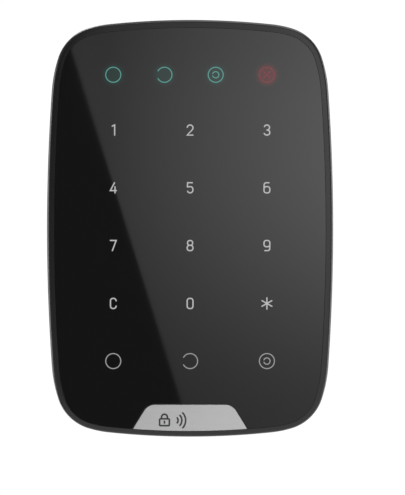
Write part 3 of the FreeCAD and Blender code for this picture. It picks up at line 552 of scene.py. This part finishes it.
def plate_rim(margin, outer):
    """The plate's edge from the outline at the right foot, over its top, to the left foot."""
    radius = PLATE_CORNER + margin
    top_z = PLATE_TOP_Z + margin
    centre_z = top_z - radius
    centre_x = side_x(centre_z, margin) - radius / math.cos(PLATE_LEAN)
    right = []
    for step in range(PLATE_STEPS + 1):
        angle = PLATE_LEAN + (math.pi / 2 - PLATE_LEAN) * step / PLATE_STEPS
        right.append((centre_x + radius * math.cos(angle), centre_z + radius * math.sin(angle)))
    z = PLATE_FOOT_Z - 2.0
    crossing = None
    while crossing is None:
        x = side_x(z, margin)
        crossing = (x, z) if inside(outer, x, z) else None
        z += 0.01
    right.insert(0, crossing)
    return right + [(-x, z) for x, z in reversed(right)]


def inside(loop, x, z):
    """Whether the point lies inside the closed loop."""
    odd = False
    for (x0, z0), (x1, z1) in zip(loop, loop[1:] + loop[:1]):
        if (z0 > z) != (z1 > z) and x < x0 + (z - z0) / (z1 - z0) * (x1 - x0):
            odd = not odd
    return odd


def merged(shells):
    """One mesh from overlapping closed shells, with nothing left inside."""
    parts = []
    for shell in shells:
        mesh = bpy.data.meshes.new("shell")
        shell.to_mesh(mesh)
        shell.free()
        part = bpy.data.objects.new("shell", mesh)
        bpy.context.scene.collection.objects.link(part)
        parts.append(part)
    for part in parts[1:]:
        union = parts[0].modifiers.new("union", "BOOLEAN")
        union.operation = "UNION"
        union.solver = "EXACT"
        union.object = part
    bpy.context.view_layer.update()
    joined = parts[0].evaluated_get(bpy.context.evaluated_depsgraph_get()).to_mesh()
    shell = bmesh.new()
    shell.from_mesh(joined)
    for part in parts:
        bpy.data.objects.remove(part)
    return shell


def bend(centre_x, centre_z, radius_x, radius_z, first, last, steps=14):
    """Points along part of an ellipse, from the first to the last angle in degrees."""
    turns = [math.radians(first + (last - first) * step / steps) for step in range(steps + 1)]
    return [(centre_x + radius_x * math.cos(t), centre_z + radius_z * math.sin(t)) for t in turns]


def block_shell(loop, front, rear):
    """A closed block with the loop of (x, z) as its outline."""
    shell = bmesh.new()
    loft(shell, [[(x, y, z) for x, z in loop] for y in (front, rear)])
    return shell


def boss_shell(x, z):
    """A blind tube for a housing screw, from the ledge towards the back."""
    shell = bmesh.new()
    profile = [(BOSS_RADIUS, BOSS_FRONT), (BOSS_RADIUS, BOSS_REAR)]
    profile += [(BORE_RADIUS, BOSS_REAR), (BORE_RADIUS, BORE_FLOOR)]
    rings = []
    for radius, y in profile:
        rings.append([(px, y, pz) for px, pz in bend(x, z, radius, radius, 0, 360, 40)[:-1]])
    loft(shell, rings)
    return shell


rim_rings = [ring(WALL_THICK, FRAME_REAR), ring(REAR_ROUND, FRAME_REAR)]
rim_rings += [ring(0.28 * REAR_ROUND, FRAME_REAR - 0.28 * REAR_ROUND), ring(0.0, FRAME_REAR - REAR_ROUND)]
rim_rings += [ring(0.0, y) for y in SIDE_YS]
for step in range(EDGE_STEPS + 1):
    turn = math.radians(90.0 * step / EDGE_STEPS)
    y = FRAME_FRONT + CROWN + (EDGE_DEPTH - CROWN) * (1.0 - math.sin(turn))
    rim_rings.append(ring(EDGE_WIDTH * (1.0 - math.cos(turn)), y))
rim_rings += [lip(0.4, FRAME_FRONT + 0.45 * CROWN), lip(0.8, FRAME_FRONT + 0.08 * CROWN)]
rim_rings.append(lip(0.98, FRAME_FRONT))
rim_rings += [groove(FRAME_FRONT + GROOVE_ROUND), groove(FRAME_FRONT + 0.5), groove(LEDGE_FRONT)]
rim_rings += [ring(LEDGE_INSET, LEDGE_FRONT), ring(LEDGE_INSET, LEDGE_REAR), ring(WALL_THICK, LEDGE_REAR)]
rim_shell = bmesh.new()
loft(rim_shell, rim_rings, closed=True)
bmesh.ops.recalc_face_normals(rim_shell, faces=rim_shell.faces)
frame_shells = [rim_shell]
corner_x, corner_z, corner_radius, _, _ = FRAME_ARCS[2]
diagonal = (corner_radius - BOSS_INSET) * math.sqrt(0.5)
for side in (-1, 1):
    for end in (-1, 1):
        frame_shells.append(boss_shell(side * (corner_x + diagonal), end * (corner_z + diagonal)))
apron_top = PLATE_TOP_Z + APRON_MARGIN
apron = [(side_x(z, APRON_MARGIN), z) for z in (APRON_FOOT, apron_top)]
apron += [(-x, z) for x, z in apron[::-1]]
frame_shells.append(block_shell(apron, LEDGE_FRONT + APRON_STEP, LEDGE_REAR - APRON_STEP))
seat = plate_rim(-SEAT_INSET, outline(GLASS_ARCS, SEAT_INSET, GLASS_CENTRE_Z))
frame_shells.append(block_shell(seat, SEAT_FRONT, SEAT_REAR))
frame_shell = merged(frame_shells)
rim_plastic = moulded("frame_plastic", (0.0065, 0.0065, 0.0070), 0.25, 0.16, 0.003, specular_ior_level=0.36)
rim = piece("front_frame_moulding", frame_shell, rim_plastic, "panel")
smooth(rim, 40.0)
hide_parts("front_frame")


# ---------------------------------------------------------------- screws in the housing and board
# Four screws through the housing's back into the frame's bosses, and three that hold the board.
# Zinc-plated steel with cross recesses, from the same box as the locking screw.
dress("housing_screws", steel)
dress("board_screws", steel)


# ---------------------------------------------------------------- glass
# Sheet of toughened glass, painted black behind, bonded to the frame's ledge with foam tape. Its
# edge is ground to a small round, and its foot is notched for the name plate.
tape = moulded("foam_tape", (0.03, 0.03, 0.03), 0.85, 0.12, 0.02)
dress("glass_tape", tape)
dress("name_plate_tape", tape)


def slab(name, loop, thickness, rounding, finish):
    """A flat sheet behind the glass's front plane, with a small round along its edges."""
    shell = block_shell(loop, GLASS_FRONT, GLASS_FRONT + thickness)
    made = piece(name, shell, finish, "panel")
    made.data.shade_smooth()
    edge = made.modifiers.new("ground_edge", "BEVEL")
    edge.width = rounding * MM
    edge.segments = 4
    edge.limit_method = "ANGLE"
    edge.angle_limit = math.radians(40.0)
    edge.harden_normals = True
    edge.use_clamp_overlap = False
    return made


NOTCH_GAP = 0.3
GLASS_THICK = 1.1
GLASS_ROUND = 0.06
glass_loop = outline(GLASS_ARCS, 0.0, GLASS_CENTRE_Z)
notch = plate_rim(NOTCH_GAP, glass_loop)
foot_x = notch[0][0]
glass_edge = [point for point in glass_loop if not (abs(point[0]) < foot_x and point[1] < 0)]
start = max(range(len(glass_edge)), key=lambda index: math.dist(glass_edge[index], glass_edge[index - 1]))
glass_edge = glass_edge[start:] + glass_edge[:start]
sheet_loop = glass_edge + notch[::-1]

ICON_Z = 55.15
ICON_PITCH = 18.4
TEAL = (0.062, 0.232, 0.202)
RED = (0.155, 0.017, 0.027)
glass = Finish("black_glass", (0.0045, 0.0045, 0.0050), specular_ior_level=0.5, emission_strength=1.0)
glass_x, _, glass_z = glass.axes()
cell = glass.node("ShaderNodeMath", {"operation": "FRACT"}, {0: glass_x / (ICON_PITCH * MM) + 8.0})
across = (cell - 0.5) * ICON_PITCH
upward = glass_z / MM - ICON_Z
reach = (across * across + upward * upward) ** 0.5
# Painted glow: the glass itself emits a soft teal or red halo round each status icon, painted light that
# stands in for the lamps' light spilling through the black paint.
painted_halo = glass.between(1.0, 0.0, reach, (2.2, 4.9))
is_red = glass.between(0.0, 1.0, glass_x / MM, (ICON_PITCH - 0.1, ICON_PITCH + 0.1))
on_glass = glass.between(1.0, 0.0, glass_x / MM, (36.0, 36.1))
on_glass = on_glass * glass.between(0.0, 1.0, glass_x / MM, (-36.1, -36.0))
glow = glass.mix(is_red, (0.0, 0.019, 0.014), (0.060, 0.0030, 0.0050))
smears = glass.speckle(22.0, 3.0, (1.0, 1.0, 0.5))
glass.set(
    emission_color=glass.mix(painted_halo * on_glass, (0.0, 0.0, 0.0), glow),
    roughness=glass.between(0.012, 0.035, smears),
)
sheet = slab("front_glass_sheet", sheet_loop, GLASS_THICK, GLASS_ROUND, glass)
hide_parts("front_glass")


# ---------------------------------------------------------------- key legends
# Digits, letters and ring icons that light up through the black paint when the panel wakes: white
# for the keys, teal and red for the four status signs along the top. Printed in translucent ink.
INK_FRONT = GLASS_FRONT - 0.02
INK_REAR = GLASS_FRONT + 0.01
DIGIT_STROKE = 0.45
RING_STROKE = 0.345
RING_RADIUS = 2.7
INNER_RADIUS = 1.14
ARM = 1.25
HALF_X = 1.04
HALF_Z = 1.82


def bar(points, width, looped=False):
    """The outline of a stroke with rounded ends, or the two edges of a looped one."""
    half = width / 2
    count = len(points)
    left, right = [], []
    for index, (x, z) in enumerate(points):
        before = points[index - 1] if index or looped else points[0]
        after = points[(index + 1) % count] if index + 1 < count or looped else points[-1]
        run_in = Vector((x - before[0], z - before[1]))
        run_out = Vector((after[0] - x, after[1] - z))
        run_in = run_in.normalized() if run_in.length else run_out.normalized()
        run_out = run_out.normalized() if run_out.length else run_in
        along = (run_in + run_out).normalized()
        reach = half / max(0.5, along.dot(run_out))
        left.append((x - along.y * reach, z + along.x * reach))
        right.append((x + along.y * reach, z - along.x * reach))
    if looped:
        return left, right
    caps = []
    for (x, z), (x1, z1) in ((points[-1], points[-2]), (points[0], points[1])):
        heading = math.degrees(math.atan2(z - z1, x - x1))
        caps.append(bend(x, z, half, half, heading - 90, heading + 90, 6)[1:-1])
    return right + caps[0] + left[::-1] + caps[1]


def stroke_shell(points, width, x, z, looped=False):
    """A stroke as a thin closed shell round the point (x, z)."""
    if looped:
        left, right = bar(points, width, looped)
        corners = ((left, INK_FRONT), (left, INK_REAR), (right, INK_REAR), (right, INK_FRONT))
        shell = bmesh.new()
        loft(shell, [[(px + x, y, pz + z) for px, pz in side] for side, y in corners], closed=True)
    else:
        edge = [(px + x, pz + z) for px, pz in bar(points, width)]
        shell = block_shell(edge, INK_FRONT, INK_REAR)
    bmesh.ops.recalc_face_normals(shell, faces=shell.faces)
    return shell


def rounded(left, right, bottom, top, corner):
    """A closed rectangle with rounded corners."""
    loop = bend(right - corner, top - corner, corner, corner, 0, 90, 8)
    loop += bend(left + corner, top - corner, corner, corner, 90, 180, 8)
    loop += bend(left + corner, bottom + corner, corner, corner, 180, 270, 8)
    return loop + bend(right - corner, bottom + corner, corner, corner, 270, 360, 8)


def turned(strokes):
    """The strokes turned by half a turn."""
    return [([(-x, -z) for x, z in points], looped) for points, looped in strokes]


SIX = [
    ([(0.75, HALF_Z)] + bend(-0.25, HALF_Z - 0.75, 0.75, 0.75, 90, 180) + [(-HALF_X, -0.3)], False),
    (rounded(-HALF_X, HALF_X, -HALF_Z, 0.42, 0.8), True),
]
GLYPHS = {
    "1": [([(-0.38, HALF_Z - 0.42), (0.5, HALF_Z), (0.5, -HALF_Z)], False)],
    "2": [
        (bend(0.0, HALF_Z - 1.04, HALF_X, 1.04, 168, -32) +
         [(-HALF_X + 0.03, -HALF_Z), (HALF_X, -HALF_Z)], False),
    ],
    "3": [
        (bend(0.0, HALF_Z - 0.90, 0.95, 0.90, 160, -90), False),
        (bend(0.0, -HALF_Z + 0.92, HALF_X, 0.92, 90, -160), False),
    ],
    "4": [
        ([(0.45, HALF_Z), (-1.05, -1.0), (1.15, -1.0)], False),
        ([(0.62, 0.35), (0.62, -HALF_Z)], False),
    ],
    "5": [
        ([(0.8, HALF_Z), (-0.9, HALF_Z), (-0.95, 0.30)], False),
        ([(-0.95, 0.30), (0.1, 0.42)] + bend(0.1, -0.48, 0.9, 0.9, 90, 0) +
         bend(0.0, -0.82, 1.0, 1.0, 0, -90) + bend(0.0, -0.82, 1.0, 1.0, -90, -155), False),
    ],
    "6": SIX,
    "7": [([(-HALF_X, HALF_Z), (HALF_X, HALF_Z), (-0.32, -HALF_Z)], False)],
    "8": [
        (rounded(-0.92, 0.92, 0.08, HALF_Z, 0.82), True),
        (rounded(-HALF_X, HALF_X, -HALF_Z, 0.08, 0.85), True),
    ],
    "9": turned(SIX),
    "C": [
        ([(HALF_X, 0.95)] + bend(0.1, HALF_Z - 0.9, 0.9, 0.9, 0, 90)[2:] +
         bend(-0.1, HALF_Z - 0.9, 0.9, 0.9, 90, 180) +
         bend(-0.1, -HALF_Z + 0.9, 0.9, 0.9, 180, 270) +
         bend(0.1, -HALF_Z + 0.9, 0.9, 0.9, 270, 360)[:-2] + [(HALF_X, -0.95)], False),
    ],
    "0": [(rounded(-HALF_X, HALF_X, -HALF_Z, HALF_Z, 0.85), True)],
    "star": [
        ([(0.0, -2.0), (0.0, 2.0)], False),
        ([(-1.78, -1.02), (1.78, 1.02)], False),
        ([(-1.78, 1.02), (1.78, -1.02)], False),
    ],
}
ring_full = (bend(0.0, 0.0, RING_RADIUS, RING_RADIUS, 0, 360, 72)[:-1], True)
ring_open = (bend(0.0, 0.0, RING_RADIUS, RING_RADIUS, 150, -150, 60), False)
ring_inner = (bend(0.0, 0.0, INNER_RADIUS, INNER_RADIUS, 158, -160, 48), False)
cross = [([(-ARM, -ARM), (ARM, ARM)], False), ([(-ARM, ARM), (ARM, -ARM)], False)]
ICONS = {
    "arm": [ring_full],
    "disarm": [ring_open],
    "night": [ring_full, ring_inner],
    "fault": [ring_full, *cross],
}


def ink(name, colour):
    """Translucent ink over a lamp, faintly uneven where it is thinner."""
    lit = Finish(name, tint(colour, 0.3), roughness=0.35, emission_strength=1.0)
    flecks = lit.speckle(0.8, 2.0)
    lit.set(emission_color=lit.mix(flecks, tint(colour, 0.9), tint(colour, 1.08)))
    return lit


KEY_COLUMNS = (-27.6, 0.0, 27.6)
KEY_ROWS = (35.3, 14.55, -6.2, -27.0)
SIGN_ROW = -47.7
KEYS = (("1", "2", "3"), ("4", "5", "6"), ("7", "8", "9"), ("C", "0", "star"))
white_ink = ink("legend_white", (0.355, 0.355, 0.355))
sign_ink = ink("sign_white", (0.235, 0.235, 0.235))
teal_ink = ink("legend_teal", TEAL)
red_ink = ink("legend_red", RED)


def legend(name, strokes, width, x, z, finish):
    """One sign on the glass, centred on (x, z)."""
    shells = [stroke_shell(points, width, x, z, looped) for points, looped in strokes]
    return piece(name, merged(shells), finish, "panel")


for row_z, row in zip(KEY_ROWS, KEYS):
    for column_x, key in zip(KEY_COLUMNS, row):
        legend(f"legend_{key}", GLYPHS[key], DIGIT_STROKE, column_x, row_z, white_ink)
for column_x, sign in zip(KEY_COLUMNS, ("arm", "disarm", "night")):
    legend(f"key_{sign}", ICONS[sign], RING_STROKE, column_x, SIGN_ROW, sign_ink)
for step, sign in enumerate(("arm", "disarm", "night", "fault")):
    status_ink, status_slot = (red_ink, "legend_red") if sign == "fault" else (teal_ink, "legend_teal")
    icon_x = (step - 1.5) * ICON_PITCH
    legend(f"status_{sign}", ICONS[sign], RING_STROKE, icon_x, ICON_Z, status_ink)


# ---------------------------------------------------------------- name plate
# Trapezoid of thin aluminium taped into the glass's notch, brushed from side to side, with bright
# cut edges. Its mark is a plain padlock and signal arcs, etched and filled dark.
PLATE_THICK = 0.8
PLATE_ROUND = 0.12
plate_edge = plate_rim(0.0, glass_loop)
plate_foot = [p for p in glass_loop if abs(p[0]) < plate_edge[0][0] - 0.02 and p[1] < 0]
plate_loop = plate_edge + sorted(plate_foot)
aluminium = Finish("plate_aluminium", (0.50, 0.50, 0.505), metallic=1.0)
brushing = aluminium.speckle(0.12, 4.0, (0.012, 1.0, 1.0))
cast = aluminium.speckle(9.0, 2.0)
aluminium.set(
    base_color=aluminium.mix(brushing * 0.7 + cast * 0.3, (0.395, 0.395, 0.40), (0.50, 0.50, 0.505)),
    roughness=aluminium.between(0.26, 0.40, brushing),
)
aluminium.emboss(brushing, 0.004)
plate = slab("name_plate_sheet", plate_loop, PLATE_THICK, PLATE_ROUND, aluminium)
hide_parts("name_plate")

MARK_STROKE = 0.62
MARK_Z = -69.0
LOCK_X = -9.2
ARCS_X = -5.6
mark_shells = []
lock = [
    (rounded(-1.75, 1.75, -2.1, 0.35, 0.35), True),
    ([(-1.05, 0.3), (-1.05, 0.95)] + bend(0.0, 0.95, 1.05, 1.05, 180, 0) + [(1.05, 0.3)], False),
    ([(0.0, -0.55), (0.0, -1.15)], False),
]
for points, looped in lock:
    mark_shells.append(stroke_shell(points, MARK_STROKE, LOCK_X, MARK_Z + 0.2, looped))
for step in range(3):
    radius = 1.3 + 1.35 * step
    mark_shells.append(stroke_shell(bend(0.0, 0.0, radius, radius, -42, 42), MARK_STROKE, ARCS_X, MARK_Z))
etched = moulded("plate_mark", (0.012, 0.012, 0.013), 0.5, 0.12, 0.003)
piece("plate_mark", merged(mark_shells), etched, "panel")


# ---------------------------------------------------------------- cells
# Four AAA cells side by side. Steel cans in a plain printed sleeve, grey with a copper band at
# the plus end, and bare at both ends.
BAND_SHARE = 0.70
BARE_FOOT = 0.7
BARE_HEAD = 1.9
PRINT_EDGE = 0.15
PLUS_UP = {"battery_1": True, "battery_2": False, "battery_3": True, "battery_4": False}
for cell_name, plus_up in PLUS_UP.items():
    bottom, top = [corner.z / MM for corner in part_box(cell_name)]
    wrap = Finish(f"{cell_name}_wrap", (0.05, 0.05, 0.055), coat_weight=0.3, coat_roughness=0.15)
    _, _, wrap_z = wrap.axes()
    along = wrap_z / MM - bottom if plus_up else top - wrap_z / MM
    length = top - bottom
    band_start = BAND_SHARE * length
    banded = wrap.between(0.0, 1.0, along, (band_start, band_start + PRINT_EDGE))
    bare_foot = wrap.between(1.0, 0.0, along, (BARE_FOOT, BARE_FOOT + PRINT_EDGE))
    bare_head = wrap.between(0.0, 1.0, along, (length - BARE_HEAD, length - BARE_HEAD + PRINT_EDGE))
    bare_end = wrap.node("ShaderNodeMath", {"operation": "MAXIMUM"}, {0: bare_foot, 1: bare_head})
    print_colour = wrap.mix(banded, (0.055, 0.058, 0.065), (0.50, 0.21, 0.07))
    wrap.set(
        base_color=wrap.mix(bare_end, print_colour, (0.66, 0.65, 0.62)),
        metallic=wrap.between(0.35, 1.0, bare_end),
        roughness=wrap.between(0.24, 0.36, wrap.speckle(1.4, 3.0)),
    )
    dress(cell_name, wrap)


# ---------------------------------------------------------------- studio
# Pale floor well below the panel, a white room, and one tall lit screen behind the viewer: bright
# towards the upper right, and cut off on its left by a dark flag with a straight slanted edge.
VIEWER_X, VIEWER_Z = 4.46, -6.90
VIEW_HEIGHT = 177.8
LENS = 180.0
SENSOR = 36.0
VIEW_DISTANCE = VIEW_HEIGHT * LENS / SENSOR
SCREEN_Y = -1600.0
SPREAD = 1.0 + (GLASS_FRONT - SCREEN_Y) / VIEW_DISTANCE

room = bpy.data.worlds.new("room")
room.use_nodes = True
backdrop = room.node_tree.nodes["Background"]
backdrop.inputs["Color"].default_value = (1.0, 1.0, 1.0, 1.0)
backdrop.inputs["Strength"].default_value = 0.42
bpy.context.scene.world = room
bpy.context.scene.view_settings.view_transform = "Standard"


def studio_sheet(name, corners, finish):
    """A flat sheet of the studio, which is no part of the object."""
    mesh = bpy.data.meshes.new(name)
    mesh.from_pydata(corners, [], [tuple(range(len(corners)))])
    mesh.materials.append(finish.material)
    made = bpy.data.objects.new(name, mesh)
    bpy.context.scene.collection.objects.link(made)
    return made


def softbox(name, place, size, power):
    """A rectangular soft light that faces the panel."""
    light = bpy.data.lights.new(name, "AREA")
    light.shape = "RECTANGLE"
    light.size, light.size_y = size
    light.energy = power
    made = bpy.data.objects.new(name, light)
    bpy.context.scene.collection.objects.link(made)
    made.location = place
    made.rotation_euler = (-Vector(place)).to_track_quat("-Z", "Y").to_euler()
    made.visible_camera = False


softbox("left_light", (-0.95, 0.08, 0.05), (0.5, 0.55), 5.5)
softbox("right_light", (0.95, 0.08, 0.05), (0.5, 0.55), 4.5)
softbox("top_light", (0.25, -0.1, 1.1), (1.2, 0.8), 9.0)
softbox("rear_light", (0.8, 0.6, 0.25), (0.3, 0.7), 2.0)
softbox("rear_top_light", (-0.4, 0.5, 0.9), (0.5, 0.3), 3.0)

white_wall = Finish("white_wall", (0.0, 0.0, 0.0), specular_ior_level=0.0, emission_strength=1.05)
wall_tone = white_wall.mix(white_wall.speckle(900.0), (0.99, 0.99, 0.99), (1.0, 1.0, 1.0))
white_wall.set(emission_color=wall_tone)
wall_shell = bmesh.new()
bmesh.ops.create_icosphere(wall_shell, subdivisions=4, radius=4.0)
wall_mesh = bpy.data.meshes.new("white_wall")
wall_shell.to_mesh(wall_mesh)
wall_shell.free()
wall_mesh.materials.append(white_wall.material)
wall = bpy.data.objects.new("white_wall", wall_mesh)
bpy.context.scene.collection.objects.link(wall)
wall.visible_diffuse = False
wall.visible_glossy = False
wall.visible_transmission = False
wall.visible_shadow = False

FLOOR_Z = -0.26
FLOOR_SIDE = 2.2
FLOOR_FRONT = -2.6
FLOOR_REAR = 1.55
floor_finish = Finish("pale_floor", (0.5, 0.5, 0.5), roughness=0.9, emission_strength=1.4)
floor_tone = floor_finish.mix(floor_finish.speckle(30.0), (0.48, 0.48, 0.48), (0.50, 0.50, 0.50))
floor_x, floor_y, _ = floor_finish.axes()
floor_reach = (floor_x * floor_x + floor_y * floor_y) ** 0.5
far_share = floor_finish.between(0.0, 1.0, floor_reach, (0.45, 1.2))
floor_glow = floor_finish.mix(far_share, floor_tone, (0.78, 0.78, 0.78))
floor_finish.set(base_color=floor_tone, emission_color=floor_glow)
floor_corners = [(-FLOOR_SIDE, FLOOR_FRONT, FLOOR_Z), (FLOOR_SIDE, FLOOR_FRONT, FLOOR_Z)]
floor_corners += [(FLOOR_SIDE, FLOOR_REAR, FLOOR_Z), (-FLOOR_SIDE, FLOOR_REAR, FLOOR_Z)]
studio_sheet("floor", floor_corners, floor_finish)

card_finish = Finish("dark_card", (0.03, 0.03, 0.03), roughness=0.9)
card_tone = card_finish.mix(card_finish.speckle(20.0), (0.025, 0.025, 0.025), (0.035, 0.035, 0.035))
card_finish.set(base_color=card_tone)
card_z = FLOOR_Z + 0.002
card_points = ((-0.83, -0.72), (-0.16, -0.185), (-0.55, 0.10), (-1.25, -0.35))
card = studio_sheet("dark_card", [(x, y, card_z) for x, y in card_points], card_finish)
card.visible_camera = False
card.visible_diffuse = False
card.visible_shadow = False

screen_finish = Finish(
    "lit_screen", (0.0, 0.0, 0.0), roughness=1.0, specular_ior_level=0.0, emission_strength=1.0
)
screen_x, _, screen_z = screen_finish.axes()
seen_x = (screen_x / MM - VIEWER_X) / SPREAD + VIEWER_X
seen_z = (screen_z / MM - VIEWER_Z) / SPREAD + VIEWER_Z
rise = screen_finish.between(0.0, 1.0, seen_z, (-75.0, 30.0))
rightward = screen_finish.node(
    "ShaderNodeMapRange", {"clamp": True},
    {"Value": seen_x, "From Min": -30.0, "From Max": 60.0, "To Min": 0.0, "To Max": 1.2},
)
level = 0.38 + 0.37 * rise + rightward * (0.34 + 1.06 * rise)
level = level * screen_finish.between(1.0, 0.85, seen_z, (40.0, 80.0))
FLAG_LEVEL = 0.07
SCREEN_SIDE = 0.75
SCREEN_TOP = 0.85
FLAG_TOP = (-42.5, 63.7)
FLAG_FOOT = (-2.9, -63.3)
slant = (FLAG_FOOT[0] - FLAG_TOP[0]) / (FLAG_TOP[1] - FLAG_FOOT[1])
from_flag = seen_x - FLAG_TOP[0] + (seen_z - FLAG_TOP[1]) * slant
lit = screen_finish.between(0.0, 1.0, from_flag, (-0.15, 0.15))
strength = FLAG_LEVEL + (level - FLAG_LEVEL) * lit
grey = screen_finish.node("ShaderNodeCombineColor", inputs={0: strength, 1: strength, 2: strength})
screen_finish.set(emission_color=grey)
screen_y = SCREEN_Y * MM
screen_corners = [(-SCREEN_SIDE, screen_y, FLOOR_Z), (SCREEN_SIDE, screen_y, FLOOR_Z)]
screen_corners += [(SCREEN_SIDE, screen_y, SCREEN_TOP), (-SCREEN_SIDE, screen_y, SCREEN_TOP)]
screen = studio_sheet("lit_screen", screen_corners, screen_finish)
screen.visible_camera = False

camera_data = bpy.data.cameras.new("camera")
camera_data.lens = LENS
camera_data.sensor_width = SENSOR
camera_data.sensor_fit = "AUTO"
camera = bpy.data.objects.new("camera", camera_data)
bpy.context.scene.collection.objects.link(camera)
camera.location = (VIEWER_X * MM, (FRAME_FRONT - VIEW_DISTANCE) * MM, VIEWER_Z * MM)
camera.rotation_euler = (math.pi / 2, 0.0, 0.0)
bpy.context.scene.camera = camera
